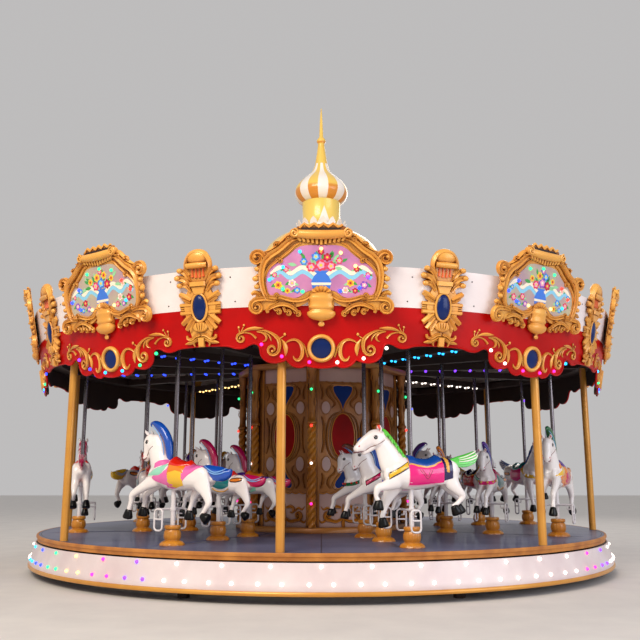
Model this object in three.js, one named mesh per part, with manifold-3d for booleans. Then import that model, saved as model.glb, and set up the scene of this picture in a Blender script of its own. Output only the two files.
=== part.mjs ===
// Fairground carousel: three rings of rising horses on a turning deck under a decorated canopy.
// Millimetres, +Z up, origin on the ground at the turning axis, the front towards -Y.
// An azimuth is counted from the front (-Y) towards +X, in degrees.
import * as THREE from 'three';
import { mergeVertices } from 'three/addons/utils/BufferGeometryUtils.js';
import { ConvexGeometry } from 'three/addons/geometries/ConvexGeometry.js';
import { ParametricGeometry } from 'three/addons/geometries/ParametricGeometry.js';
import Module from 'manifold-3d';

// Play between touching pieces
const SEAT = 0.3;

// Heights above the ground
const DECK_TOP = 465;
const DECK_THICK = 40;
const BEAM_TOP = 360;
const BEAM_FOOT = 150;
const ARM_LOW = 370;
const CEILING_LOW = DECK_TOP + 2200;
const CEILING_HIGH = DECK_TOP + 2290;
const BOARD_LOW = DECK_TOP + 2350;
const BOARD_HIGH = DECK_TOP + 2740;
const ROOF_EDGE = DECK_TOP + 2640;
const ROOF_CROWN = DECK_TOP + 3450;
const DOME_WALL_TOP = DECK_TOP + 3863;
const DOME_TOP = DECK_TOP + 4345;
const ONION_TOP = DECK_TOP + 5406;
const TIP = DECK_TOP + 6341;

// Radii
const HUB = 500;
const DECK_RADIUS = 3750;
const NOSING_RADIUS = 3775;
const SKIRT_TOP_RADIUS = 3790;
const SKIRT_FOOT_RADIUS = 3850;
const POST_RING = 3700;
const POST_RADIUS = 44.5;
const BOARD_RADIUS = 3900;
const DRUM_CORNER = 1080;
const COLUMN_RING = 1150;
const COLUMN_RADIUS = 62;
const DOME_RADIUS = 870;

// Layout
const POSTS = 8;
const POST_TURN = -6.1;
const ROWS = 8;
const ROW_TURN = 16.4;
const BAYS = 10;
const RING_SIDES = 40;
const BOARD_LEAN = 11;
const BOARD_THICK = 10;
const VALANCE_SLICES = 12;

// Horses: name and radius of each ring, its horses' size and how far they are raised, and the pole and
// pedestal they share
const HORSE_RINGS = [
  { name: 'outer', radius: 3275, size: 1, raised: 0 },
  { name: 'middle', radius: 2460, size: 0.85, raised: 30 },
  { name: 'inner', radius: 1850, size: 0.8, raised: 50 },
];
const POLE_RADIUS = 25;
const POLE_SIDES = 6;
const BORE_RADIUS = 25.9;
const POLE_LOW = 60;
const POLE_HIGH = 2480;
const REST_BAR = 372;
const REST_REACH = 200;
const PEDESTAL_HEIGHT = 207;

const wasm = await Module();
wasm.setup();

const COLOURS = {
  gold: { color: 0xd9983a, roughness: 0.4, metalness: 0.35 },
  deck: { color: 0x5a5c78, roughness: 0.55, metalness: 0.2 },
  frame: { color: 0x3a2a26, roughness: 0.7, metalness: 0.3 },
  skirt: { color: 0xe9dddc, roughness: 0.4, metalness: 0.0 },
  panel: { color: 0xdcc4b8, roughness: 0.45, metalness: 0.0 },
  board: { color: 0xe9dddc, roughness: 0.4, metalness: 0.0 },
  red: { color: 0xc8140f, roughness: 0.35, metalness: 0.0 },
  roof: { color: 0xe8d9c0, roughness: 0.5, metalness: 0.0 },
  pale: { color: 0xf0ce6a, roughness: 0.4, metalness: 0.1 },
  horse: { color: 0xf2ece8, roughness: 0.25, metalness: 0.0 },
};

const group = new THREE.Group();

// Closed solid of a geometry, with its faces turned outwards
function solidOf(geometry) {
  const bare = new THREE.BufferGeometry();
  bare.setAttribute('position', geometry.getAttribute('position').clone());
  if (geometry.index) bare.setIndex(geometry.index.clone());
  const merged = mergeVertices(bare, 0.01);
  const places = merged.getAttribute('position').array;
  const index = merged.index.array;
  const corner = (i) => new THREE.Vector3().fromArray(places, 3 * i);
  const kept = [];
  let volume = 0;
  for (let i = 0; i < index.length; i += 3) {
    const [a, b, c] = [index[i], index[i + 1], index[i + 2]];
    if (a === b || b === c || c === a) continue;
    kept.push(a, b, c);
    volume += corner(a).dot(corner(b).cross(corner(c)));
  }
  if (volume < 0) kept.reverse();
  const mesh = new wasm.Mesh({
    numProp: 3,
    vertProperties: Float32Array.from(places),
    triVerts: Uint32Array.from(kept),
  });
  return new wasm.Manifold(mesh);
}

function joined(pieces) {
  return pieces.map((piece) => (piece.isBufferGeometry ? solidOf(piece) : piece))
    .reduce((whole, piece) => whole.add(piece));
}

// Puts a solid or geometry in the group under its name
function place(name, piece, colour, turn = 0) {
  const solid = piece.isBufferGeometry ? solidOf(piece) : piece;
  const mesh = solid.getMesh();
  const geometry = new THREE.BufferGeometry();
  geometry.setAttribute('position', new THREE.Float32BufferAttribute(mesh.vertProperties, 3));
  geometry.setIndex(new THREE.BufferAttribute(mesh.triVerts, 1));
  geometry.computeVertexNormals();
  const node = new THREE.Mesh(geometry, new THREE.MeshStandardMaterial(COLOURS[colour]));
  node.name = name;
  node.rotation.z = THREE.MathUtils.degToRad(turn);
  group.add(node);
}

const evenly = (count, first = 0) => Array.from({ length: count }, (_, k) => first + (k * 360) / count);

const degrees = THREE.MathUtils.degToRad;

// Board leaning outwards: its outer radius at a height
const boardRadius = (height) => BOARD_RADIUS + (height - BOARD_LOW) * Math.tan(degrees(BOARD_LEAN));

// Solid of revolution from a profile of [radius, height] pairs
function turned(profile, sides, firstCorner = 0) {
  const points = profile.map(([radius, height]) => new THREE.Vector2(radius, height));
  const geometry = new THREE.LatheGeometry(points, sides, degrees(firstCorner), 2 * Math.PI);
  return geometry.rotateX(Math.PI / 2);
}

// Closed ring of a straight-sided section, given as [radius, height] corners
function ring(corners, sides, firstCorner = 0) {
  return turned([...corners, corners[0]], sides, firstCorner);
}

function cylinder(radius, low, high, sides, firstCorner = 0) {
  return turned([[0, low], [radius, low], [radius, high], [0, high]], sides, firstCorner);
}

// Bar along a radius, from one radius to another
function spoke(from, to, width, low, high, azimuth) {
  return new THREE.BoxGeometry(width, to - from, high - low)
    .translate(0, -(from + to) / 2, (low + high) / 2)
    .rotateZ(degrees(azimuth));
}

// Moves a shape to a radius and azimuth
const outTo = (geometry, radius, azimuth) => geometry.translate(0, -radius, 0).rotateZ(degrees(azimuth));

// Flat plate that faces outwards: an outline in its own x and y, standing on a leaning plane
function plate(outline, thick, lean, radius, height, azimuth, holes = []) {
  const shape = new THREE.Shape(outline.map(([x, y]) => new THREE.Vector2(x, y)));
  holes.forEach((hole) => shape.holes.push(new THREE.Path(hole.map(([x, y]) => new THREE.Vector2(x, y)))));
  return new THREE.ExtrudeGeometry(shape, { depth: thick, bevelEnabled: false })
    .rotateX(Math.PI / 2 + degrees(lean))
    .translate(0, -radius, height)
    .rotateZ(degrees(azimuth));
}

const oval = (width, height, count, up = 0) => evenly(count).map((angle) => [
  (width / 2) * Math.cos(degrees(angle)),
  up + (height / 2) * Math.sin(degrees(angle)),
]);

// Convex body through oval stations. A station is [x, y, z, tilt, half height, half width],
// with its ring square to a direction that is tilted up from +x.
function fleshed(stations, sides) {
  const points = [];
  stations.forEach(([x, y, z, tilt, high, wide]) => {
    const upward = new THREE.Vector3(-Math.sin(degrees(tilt)), 0, Math.cos(degrees(tilt)));
    evenly(sides).forEach((angle) => {
      const point = new THREE.Vector3(x, y, z).addScaledVector(upward, high * Math.cos(degrees(angle)));
      point.y += wide * Math.sin(degrees(angle));
      points.push(point);
    });
  });
  return new ConvexGeometry(points);
}

// Skirt round the base, flaring to its foot
const SKIRT_LOW = 125;
const SKIRT_HIGH = 378;
const SKIRT_THICK = 16;
const skirtRadius = (height) => THREE.MathUtils.mapLinear(
  height, SKIRT_LOW, SKIRT_HIGH, SKIRT_FOOT_RADIUS, SKIRT_TOP_RADIUS);

function skirt() {
  return ring([
    [SKIRT_FOOT_RADIUS, SKIRT_LOW],
    [SKIRT_TOP_RADIUS, SKIRT_HIGH],
    [SKIRT_TOP_RADIUS - SKIRT_THICK, SKIRT_HIGH],
    [SKIRT_FOOT_RADIUS - SKIRT_THICK, SKIRT_LOW],
  ], RING_SIDES, 180 / RING_SIDES);
}

// Standing base: the hub and eight beams that reach to the skirt, with a foot under each end
function baseFrame() {
  const beamWidth = 110;
  const beamTop = 310;
  const facetFall = (beamWidth / 2) * Math.tan(Math.PI / RING_SIDES);
  const reach = skirtRadius(beamTop) - SKIRT_THICK - facetFall - 2 * SEAT;
  const footRing = 3560;
  const pieces = [cylinder(HUB, 0, BEAM_TOP, 16)];
  evenly(8, 22.5).forEach((azimuth) => {
    pieces.push(spoke(HUB - 60, reach, beamWidth, BEAM_FOOT, beamTop, azimuth));
    pieces.push(outTo(cylinder(60, 0, BEAM_FOOT + 10, 6), footRing, azimuth));
  });
  return joined(pieces);
}

// Gold trim under the skirt
function skirtTrim() {
  return ring([
    [SKIRT_FOOT_RADIUS - 20, 83],
    [SKIRT_FOOT_RADIUS + 12, 83],
    [SKIRT_FOOT_RADIUS + 6, SKIRT_LOW - SEAT],
    [SKIRT_FOOT_RADIUS - 20, SKIRT_LOW - SEAT],
  ], RING_SIDES, 180 / RING_SIDES);
}

// Turning spider: hub and arms that carry the deck
function turntableFrame() {
  const armHigh = DECK_TOP - DECK_THICK - SEAT;
  const pieces = [cylinder(HUB - 20, BEAM_TOP + SEAT, armHigh, 16)];
  evenly(POSTS, POST_TURN).forEach((azimuth) => {
    pieces.push(spoke(HUB - 80, 3730, 100, ARM_LOW, armHigh, azimuth));
  });
  return joined(pieces);
}

// Spots of the 24 poles as [ring radius, azimuth]
const polePlaces = evenly(ROWS, ROW_TURN).flatMap((azimuth) => HORSE_RINGS.map(({ radius }) => [radius, azimuth]));

// Cuts a bore for each pole through a solid
function boredForPoles(solid, low, high) {
  return polePlaces.reduce((body, [radius, azimuth]) => {
    const bore = outTo(cylinder(BORE_RADIUS, low, high, POLE_SIDES), radius, azimuth);
    return body.subtract(solidOf(bore));
  }, solid);
}

function deck() {
  const pieces = [cylinder(DECK_RADIUS, DECK_TOP - DECK_THICK, DECK_TOP, RING_SIDES)];
  const sides = 6;
  polePlaces.forEach(([radius, azimuth]) => {
    pieces.push(outTo(turned([
      [0, DECK_TOP - 10],
      [133, DECK_TOP - 10],
      [97, DECK_TOP + 60],
      [88, DECK_TOP + PEDESTAL_HEIGHT],
      [0, DECK_TOP + PEDESTAL_HEIGHT],
    ], sides), radius, azimuth));
  });
  return boredForPoles(joined(pieces), DECK_TOP - DECK_THICK - 20, DECK_TOP + PEDESTAL_HEIGHT + 20);
}

// Nosing round the deck
function deckEdge() {
  return ring([
    [DECK_RADIUS + SEAT, DECK_TOP - 73],
    [NOSING_RADIUS, DECK_TOP - 73],
    [NOSING_RADIUS, DECK_TOP],
    [DECK_RADIUS + SEAT, DECK_TOP],
  ], RING_SIDES);
}

function post() {
  const low = DECK_TOP + SEAT;
  const high = CEILING_LOW - SEAT;
  return turned([[0, low], [POST_RADIUS, low], [POST_RADIUS, high], [0, high]], 8)
    .translate(0, -POST_RING, 0);
}

// Eight-sided centre housing with a raised oval on each face
function centreDrum() {
  const low = DECK_TOP + SEAT;
  const pieces = [cylinder(DRUM_CORNER, low, CEILING_LOW - SEAT, 8, POST_TURN)];
  const face = DRUM_CORNER * Math.cos(degrees(22.5)) - 5;
  evenly(8, POST_TURN + 22.5).forEach((azimuth) => {
    pieces.push(plate(oval(380, 560, 8, 1090), 25, 0, face, DECK_TOP, azimuth));
  });
  return joined(pieces);
}

// Gold columns at the corners of the centre, tied by a plinth and a cornice
function centreColumns() {
  const plinth = [[DRUM_CORNER + 0.5, 0], [1225, 0], [1225, 70], [DRUM_CORNER + 0.5, 70]];
  const bands = [DECK_TOP + SEAT, CEILING_LOW - SEAT - 70];
  const pieces = bands.map((low) => ring(plinth.map(([radius, up]) => [radius, low + up]), 8, POST_TURN));
  evenly(8, POST_TURN).forEach((azimuth) => {
    pieces.push(outTo(cylinder(COLUMN_RADIUS, bands[0] + 60, bands[1] + 10, 8), COLUMN_RING, azimuth));
  });
  return joined(pieces);
}

// Section of the rim that ties the canopy's arms and carries the boards, with its bore widened by some play
const CANOPY_RIM = 3640;

function canopyRing(play = 0) {
  const outer = boardRadius(CEILING_LOW) - BOARD_THICK - SEAT;
  return ring([
    [CANOPY_RIM - play, CEILING_LOW - play],
    [outer, CEILING_LOW - play],
    [outer, CEILING_HIGH + play],
    [CANOPY_RIM - play, CEILING_HIGH + play],
  ], RING_SIDES);
}

// Canopy spider: hub on the centre housing, an arm over each post and each row of horses, and a mast
function canopyFrame() {
  const pieces = [
    cylinder(DRUM_CORNER, CEILING_LOW, CEILING_HIGH, 16),
    cylinder(120, CEILING_HIGH - 10, ROOF_CROWN - 25 - SEAT, 8),
  ];
  [...evenly(POSTS, POST_TURN), ...evenly(ROWS, ROW_TURN)].forEach((azimuth) => {
    pieces.push(spoke(1000, CANOPY_RIM + 20, 100, CEILING_LOW, CEILING_HIGH, azimuth));
  });
  const ends = joined(pieces).subtract(solidOf(canopyRing(SEAT)));
  return boredForPoles(ends, CEILING_LOW - 20, CEILING_HIGH + 20);
}

// Lower edge of the red valance over one bay: lobes that step up to the pilasters
const VALANCE_EDGE = [1745, 1750, 1750, 1800, 2010, 1978, 1990];

function valanceLow(azimuth) {
  const bay = 360 / BAYS;
  const fromCentre = Math.abs(azimuth - bay * Math.round(azimuth / bay));
  return DECK_TOP + VALANCE_EDGE[Math.round((fromCentre / bay) * VALANCE_SLICES)];
}

function valance() {
  const high = BOARD_LOW - SEAT;
  const surface = (u, v, target) => {
    const azimuth = 360 * v;
    const corner = Math.round(u * 4) % 4;
    const height = corner === 1 || corner === 2 ? high : valanceLow(azimuth);
    const radius = boardRadius(height) - (corner >= 2 ? BOARD_THICK : 0);
    target.set(radius * Math.sin(degrees(azimuth)), -radius * Math.cos(degrees(azimuth)), height);
  };
  const pieces = [new ParametricGeometry(surface, 4, BAYS * VALANCE_SLICES)];
  const medallionHeight = DECK_TOP + 1940;
  evenly(BAYS).forEach((azimuth) => {
    pieces.push(plate(oval(278, 278, 8), 40, BOARD_LEAN, boardRadius(medallionHeight) - 6, medallionHeight, azimuth));
  });
  return joined(pieces);
}

// White board above the valance with the pilasters between the bays
function crownBoard() {
  const proud = 2;
  const pieces = [ring([
    [boardRadius(BOARD_LOW) + proud, BOARD_LOW],
    [boardRadius(BOARD_HIGH) + proud, BOARD_HIGH],
    [boardRadius(BOARD_HIGH) + proud - BOARD_THICK, BOARD_HIGH],
    [boardRadius(BOARD_LOW) + proud - BOARD_THICK, BOARD_LOW],
  ], RING_SIDES)];
  const low = DECK_TOP + 1978;
  const outline = [
    [-60, 0], [60, 0], [190, 190], [115, 480], [222, 740], [0, 988], [-222, 740], [-115, 480], [-190, 190],
  ];
  evenly(BAYS, 180 / BAYS).forEach((azimuth) => {
    pieces.push(plate(outline, 70, BOARD_LEAN, boardRadius(low) + SEAT, low, azimuth));
  });
  return joined(pieces);
}

// Gold picture frame in front of the boards: rim, side scrolls, urn and crown bar, with a sunk picture
function cartouche() {
  const low = DECK_TOP + 2153;
  const half = [[0, 0], [130, 130], [600, 130], [680, 230], [610, 430], [680, 800], [235, 960], [235, 1015]];
  const outline = [...half, ...half.slice(1).reverse().map(([x, y]) => [-x, y])];
  const body = solidOf(plate(outline, 85, BOARD_LEAN, boardRadius(low) + 2 + SEAT, low, 0));
  const recess = oval(1075, 560, 10, 530);
  const cut = plate(recess, 200, BOARD_LEAN, boardRadius(low) + 37, low, 0);
  return body.subtract(solidOf(cut));
}

// Roof shell: a cone from the boards up to a flat crown that stands on the mast
function roof() {
  const edge = boardRadius(ROOF_EDGE) + 2 - BOARD_THICK - SEAT;
  const thick = 25;
  return turned([
    [0, ROOF_CROWN],
    [DOME_RADIUS, ROOF_CROWN],
    [edge, ROOF_EDGE],
    [edge - 5, ROOF_EDGE - thick],
    [DOME_RADIUS, ROOF_CROWN - thick],
    [0, ROOF_CROWN - thick],
  ], RING_SIDES);
}

// Drum-shaped lower dome, rounding in to the neck of the onion
function roofDome() {
  const profile = [[0, ROOF_CROWN + SEAT], [DOME_RADIUS, ROOF_CROWN + SEAT], [DOME_RADIUS, DOME_WALL_TOP]];
  const rise = DOME_TOP - DOME_WALL_TOP;
  const neck = 350;
  [30, 55, 75, 90].forEach((angle) => {
    const across = neck + (DOME_RADIUS - neck) * Math.cos(degrees(angle));
    profile.push([across, DOME_WALL_TOP + rise * Math.sin(degrees(angle))]);
  });
  profile.push([0, DOME_TOP]);
  return turned(profile, 20);
}

// Onion dome on its neck
function onionDome() {
  const above = (height) => DECK_TOP + height;
  const profile = [
    [0, DOME_TOP + SEAT], [351, DOME_TOP + SEAT], [286, above(4400)], [286, above(4785)], [390, above(4870)],
    [404, above(4943)], [360, above(5060)], [197, above(5217)], [125, above(5328)], [95, ONION_TOP], [0, ONION_TOP],
  ];
  return turned(profile, 16);
}

function spire() {
  const above = (height) => DECK_TOP + height;
  const profile = [
    [0, ONION_TOP + SEAT], [95, ONION_TOP + SEAT], [48, above(5742)], [69, above(5760)], [69, above(5850)],
    [30, above(5866)], [24, above(6100)], [8, TIP], [0, TIP],
  ];
  return turned(profile, 8);
}

// One leaping horse on its pole, along its own +x, with heights counted from the deck
function horse(size, raised) {
  const body = joined([
    fleshed([[250, 0, 728, 0, 130, 115], [-140, 0, 722, 0, 150, 138], [-490, 0, 765, 0, 122, 128]], 6),
    fleshed([[150, 0, 785, 55, 150, 85], [345, 0, 1072, 55, 75, 52]], 4),
    fleshed([[285, 0, 1112, -35, 80, 62], [560, 0, 928, -35, 44, 42]], 4),
    fleshed([[210, 70, 672, -15, 80, 55], [430, 75, 582, -15, 36, 34]], 3),
    fleshed([[430, 75, 600, -95, 38, 34], [400, 75, 400, -95, 42, 40]], 3),
    fleshed([[230, -70, 680, -90, 85, 55], [310, -75, 215, -85, 42, 38]], 3),
    fleshed([[-430, 75, 722, 225, 105, 60], [-590, 80, 510, 240, 38, 36]], 3),
    fleshed([[-590, 80, 530, -50, 36, 34], [-480, 80, 370, -50, 50, 40]], 3),
    fleshed([[-430, -75, 722, 235, 105, 60], [-555, -80, 475, 250, 38, 36]], 3),
    fleshed([[-555, -80, 500, -55, 36, 34], [-450, -80, 330, -55, 50, 40]], 3),
    fleshed([[-480, 0, 842, -10, 40, 44], [-765, 0, 890, -10, 34, 38]], 3),
    new THREE.BoxGeometry(24, 2 * REST_REACH, 24).translate(0, 0, REST_BAR),
    footRest(1),
    footRest(-1),
  ]);
  const pole = solidOf(cylinder(POLE_RADIUS, POLE_LOW, POLE_HIGH, POLE_SIDES));
  return body.scale([size, size, size]).translate([0, 0, raised]).add(pole);
}

// Loop that a rider's foot stands in, hung from the end of the cross bar
function footRest(side) {
  const [length, low, high, tube] = [55, 148, REST_BAR + 12, 22];
  const frame = (inset) => [
    [-length + inset, low + inset], [length - inset, low + inset], [length - inset, high - inset],
    [-length + inset, high - inset],
  ];
  const shape = new THREE.Shape(frame(0).map(([x, y]) => new THREE.Vector2(x, y)));
  shape.holes.push(new THREE.Path(frame(tube).map(([x, y]) => new THREE.Vector2(x, y))));
  return new THREE.ExtrudeGeometry(shape, { depth: tube, bevelEnabled: false })
    .rotateX(Math.PI / 2)
    .translate(0, side * REST_REACH + tube / 2, 0);
}

place('base_frame', baseFrame(), 'frame');
place('skirt', skirt(), 'skirt');
place('skirt_trim', skirtTrim(), 'gold');
place('turntable_frame', turntableFrame(), 'frame');
place('deck', deck(), 'deck');
place('deck_edge', deckEdge(), 'gold');
evenly(POSTS, POST_TURN).forEach((azimuth, k) => place(`post_${k + 1}`, post(), 'gold', azimuth));
place('centre_drum', centreDrum(), 'panel');
place('centre_columns', centreColumns(), 'gold');
place('canopy_frame', canopyFrame(), 'frame');
place('canopy_ring', canopyRing(), 'frame');
place('valance', valance(), 'red');
place('crown_board', crownBoard(), 'board');
evenly(BAYS).forEach((azimuth, k) => place(`cartouche_${k + 1}`, cartouche(), 'gold', azimuth));
place('roof', roof(), 'roof');
place('roof_dome', roofDome(), 'pale');
place('onion_dome', onionDome(), 'pale');
place('spire', spire(), 'gold');

// A horse heads along decreasing azimuth, so its own +x is turned to the azimuth plus half a turn
HORSE_RINGS.forEach(({ name, radius, size, raised }) => {
  const whole = horse(size, raised);
  evenly(ROWS, ROW_TURN).forEach((azimuth, k) => {
    const placed = whole.rotate([0, 0, 180]).translate([0, -radius, DECK_TOP]);
    place(`${name}_horse_${k + 1}`, placed, 'horse', azimuth);
  });
});

export default group;
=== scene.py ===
# %% [markdown]
# # A fairground carousel, dressed
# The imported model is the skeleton: every node sits at its real place, in metres, with +Z up and the front
# towards -Y. This lesson puts a carved, painted and lit skin on it. The camera and the paints come first,
# then the base, the deck, the canopy with its gold ornament and the centre, and at last the horses.

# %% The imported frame
import math

import bmesh
import bpy
import numpy as np
from mathutils import Matrix, Vector
from mathutils.bvhtree import BVHTree


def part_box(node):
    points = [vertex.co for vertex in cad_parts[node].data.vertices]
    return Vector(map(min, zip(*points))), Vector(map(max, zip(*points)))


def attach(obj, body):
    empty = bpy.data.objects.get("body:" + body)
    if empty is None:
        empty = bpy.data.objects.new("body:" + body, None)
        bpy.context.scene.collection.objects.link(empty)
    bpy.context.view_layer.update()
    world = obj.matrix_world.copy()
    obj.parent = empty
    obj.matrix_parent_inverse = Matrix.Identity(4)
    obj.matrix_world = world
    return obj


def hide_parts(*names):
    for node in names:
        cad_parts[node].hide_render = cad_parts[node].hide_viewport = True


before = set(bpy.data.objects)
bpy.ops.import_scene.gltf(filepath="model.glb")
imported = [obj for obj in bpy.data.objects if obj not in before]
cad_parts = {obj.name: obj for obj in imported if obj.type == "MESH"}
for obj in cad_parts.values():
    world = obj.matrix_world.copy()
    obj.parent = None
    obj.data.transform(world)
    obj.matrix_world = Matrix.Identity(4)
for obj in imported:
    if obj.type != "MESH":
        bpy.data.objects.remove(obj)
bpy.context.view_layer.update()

# %% [markdown]
# The camera stands on the ground in front of the ride at the height of a child's eyes and looks up a
# little. A horizon at the riders' feet makes the canopy lean over the viewer, so the tilt matters more than
# the lens.

# %% Camera
SENSOR = 36.0
LENS = 44.6
CAMERA_PLACE = (0.0, -11.496, 1.172)
CAMERA_TURN = (101.17, 0.0, 0.094)


def placed(name, data):
    """A new object with this data, linked to the scene."""
    thing = bpy.data.objects.new(name, data)
    bpy.context.scene.collection.objects.link(thing)
    return thing


camera_data = bpy.data.cameras.new("camera")
camera_data.sensor_width = SENSOR
camera_data.lens = LENS
camera = placed("camera", camera_data)
camera.location = CAMERA_PLACE
camera.rotation_euler = [math.radians(turn) for turn in CAMERA_TURN]
bpy.context.scene.camera = camera
print("camera", CAMERA_PLACE, "lens", LENS)

# %% [markdown]
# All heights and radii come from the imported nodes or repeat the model's driving sizes. The boards of the
# canopy lean out by 11 degrees, so one function gives their radius at any height.

# %% Sizes
DECK = round(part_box("post_1")[0].z, 3)
CEILING_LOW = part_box("canopy_ring")[0].z
BOARD_LOW = round(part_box("valance")[1].z, 3)
CROWN_TALL = 0.390
BOARD_HIGH = BOARD_LOW + CROWN_TALL
ROOF_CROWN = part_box("roof")[1].z
DOME_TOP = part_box("roof_dome")[1].z
ONION_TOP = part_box("onion_dome")[1].z
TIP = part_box("spire")[1].z
LEAN_DEGREES = 11
LEAN = math.radians(LEAN_DEGREES)
BOARD_RADIUS = 3.900
POST_RING = 3.700
# Pieces that rest on one another are this far apart
GAP = 0.0003
BAYS = [36 * k for k in range(10)]
PILASTERS = [18 + 36 * k for k in range(10)]
CORNERS = [-6.1 + 45 * k for k in range(8)]
ROWS = [16.4 + 45 * k for k in range(8)]


def board_radius(height):
    """Radius of the leaning boards at a height."""
    return BOARD_RADIUS + (height - BOARD_LOW) * math.tan(LEAN)


def around(radius, azimuth, height):
    """Point at a radius and height, at an azimuth in degrees from the front towards +X."""
    turn = math.radians(azimuth)
    return (radius * math.sin(turn), -radius * math.cos(turn), height)


print("deck", DECK, "boards", BOARD_LOW, BOARD_HIGH, "tip", round(TIP, 3))

# %% [markdown]
# A material is a tree of nodes. One small function adds a node: it sets the node's own options, then its
# sockets, and a socket given as a value is linked. Colours are written as sRGB hex, as a paint chart gives
# them, and turned to linear light once.


# %% Colours and nodes
def linear(code):
    """Linear RGBA of an sRGB hex colour."""
    parts = [int(code[i:i + 2], 16) / 255 for i in (0, 2, 4)]
    return [p / 12.92 if p <= 0.04045 else ((p + 0.055) / 1.055) ** 2.4 for p in parts] + [1.0]


def add(tree, kind, sockets=None, **options):
    """Adds a node with its options, and its sockets set or linked."""
    new = tree.nodes.new(kind)
    for option, value in options.items():
        setattr(new, option, value)
    for socket, value in (sockets or {}).items():
        if isinstance(value, bpy.types.NodeSocket):
            tree.links.new(value, new.inputs[socket])
        else:
            new.inputs[socket].default_value = value
    return new


def blank(name):
    """A new material with an empty tree."""
    material = bpy.data.materials.new(name)
    material.use_nodes = True
    material.node_tree.nodes.clear()
    return material


# %% [markdown]
# Every paint is one coat with its own numbers: soft blotches of a second tone, a fine grain in gloss and
# relief, and where asked for, a darker colour that ambient occlusion mixes into the hollows, which is painted
# shade. A real grain of a millimetre or two can't be seen on a ride eight metres wide, so each one is drawn
# as coarse as it needs to show.


# %% Paint
def painted(name, colour, shade, grain_mm, roughness, bump=0.15, metallic=0.0, coat=0.0, hollow_shade=None,
            blotch_mm=400.0, glint=0.5):
    """A painted surface. glint is the strength of its plain mirror light. A colour given for the hollows is
    mixed in by ambient occlusion as painted shade.
    """
    material = blank(name)
    tree = material.node_tree
    place = add(tree, "ShaderNodeTexCoord").outputs["Object"]
    tone = linear(colour)
    if shade != colour:
        blotch = add(tree, "ShaderNodeTexNoise", {"Vector": place, "Scale": 1000 / blotch_mm, "Detail": 3.0})
        level = add(tree, "ShaderNodeMapRange", {
            "Value": blotch.outputs[0], "From Min": 0.3, "From Max": 0.7})
        body = add(tree, "ShaderNodeMix", {0: level.outputs[0], 6: linear(shade), 7: tone}, data_type="RGBA")
        tone = body.outputs[2]
    # The colour for the hollows is painted shade, mixed in where ambient occlusion finds them
    if hollow_shade:
        hollow = add(tree, "ShaderNodeAmbientOcclusion", {"Distance": 0.06}, samples=4)
        depth = add(tree, "ShaderNodeMapRange", {
            "Value": hollow.outputs["AO"], "From Min": 0.35, "From Max": 0.85})
        shaded_hollows = add(tree, "ShaderNodeMix", {0: depth.outputs[0], 6: linear(hollow_shade), 7: tone},
                    data_type="RGBA")
        tone = shaded_hollows.outputs[2]
    grain = add(tree, "ShaderNodeTexNoise", {"Vector": place, "Scale": 1000 / grain_mm, "Detail": 4.0})
    gloss = add(tree, "ShaderNodeMapRange", {
        "Value": grain.outputs[0], "To Min": roughness * 0.8, "To Max": roughness * 1.25})
    relief = add(tree, "ShaderNodeBump", {"Strength": bump, "Distance": 0.002, "Height": grain.outputs[0]})
    shader = add(tree, "ShaderNodeBsdfPrincipled", {
        "Base Color": tone, "Roughness": gloss.outputs[0], "Metallic": metallic, "Coat Weight": coat,
        "Coat Roughness": 0.08, "Specular IOR Level": glint, "Normal": relief.outputs[0]})
    add(tree, "ShaderNodeOutputMaterial", {"Surface": shader.outputs[0]})
    return material


# %% [markdown]
# A lamp cap is coloured plastic with a light behind it. It is brightest where one looks straight in and has
# its full colour at the rim.


# %% Lamp light
def glowing(name, colour, core, strength):
    """A lit lamp cap: a coloured plastic that gives light."""
    material = blank(name)
    tree = material.node_tree
    rim = add(tree, "ShaderNodeLayerWeight", {"Blend": 0.35})
    hot = add(tree, "ShaderNodeMix", {0: rim.outputs["Facing"], 6: linear(core), 7: linear(colour)},
              data_type="RGBA")
    shader = add(tree, "ShaderNodeBsdfPrincipled", {
        "Base Color": linear(colour), "Roughness": 0.3, "Emission Color": hot.outputs[2],
        "Emission Strength": strength})
    add(tree, "ShaderNodeOutputMaterial", {"Surface": shader.outputs[0]})
    return material


# %% [markdown]
# The ornament is glass-fibre cast in moulds and sprayed gold. Spray gold is a pigment, not a mirror, so it is
# only partly metallic. The brown mixed into the hollows of these paints is painted shade, and the deeper gold
# is a shaded copy of the gold for ornament that stands in shade.

# %% Gold paints
# The brown given for the hollows of these paints is painted shade
gold = painted("gold_sprayed_grp", "F6B652", "E89C40", 14, 0.36, 0.12, 0.12, 0.2, hollow_shade="8A4410")
gold_tube = painted("gold_sprayed_steel", "E2A242", "CE8A34", 20, 0.34, 0.05, 0.25, 0.2)
# A deeper copy of the gold for ornament that stands in shade: painted shade
shaded_gold = painted("shaded_gold_paint", "C8822F", "A66324", 15, 0.42, 0.15, 0.15, 0.1, hollow_shade="4E220A")
amber = painted("amber_gelcoat", "E09428", "C8781A", 14, 0.34, 0.1, 0.0, 0.3, hollow_shade="6E3206")
pale_gold = painted("pale_yellow_gelcoat", "F2CC62", "EBBC4A", 25, 0.4, 0.05, 0.0, 0.15)
# An orange gold only for the underside of the spire's knop: painted shade
knop_shade_gold = painted("knop_shade_orange_gold", "E9A33E", "D88828", 25, 0.34, 0.05, 0.1, 0.3)

# %% [markdown]
# Gelcoat is the pigmented resin that faces a glass-fibre moulding: smooth and wet-looking when new, with a
# faint orange peel. The boards, the skirt and the horses are all made of it.

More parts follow.
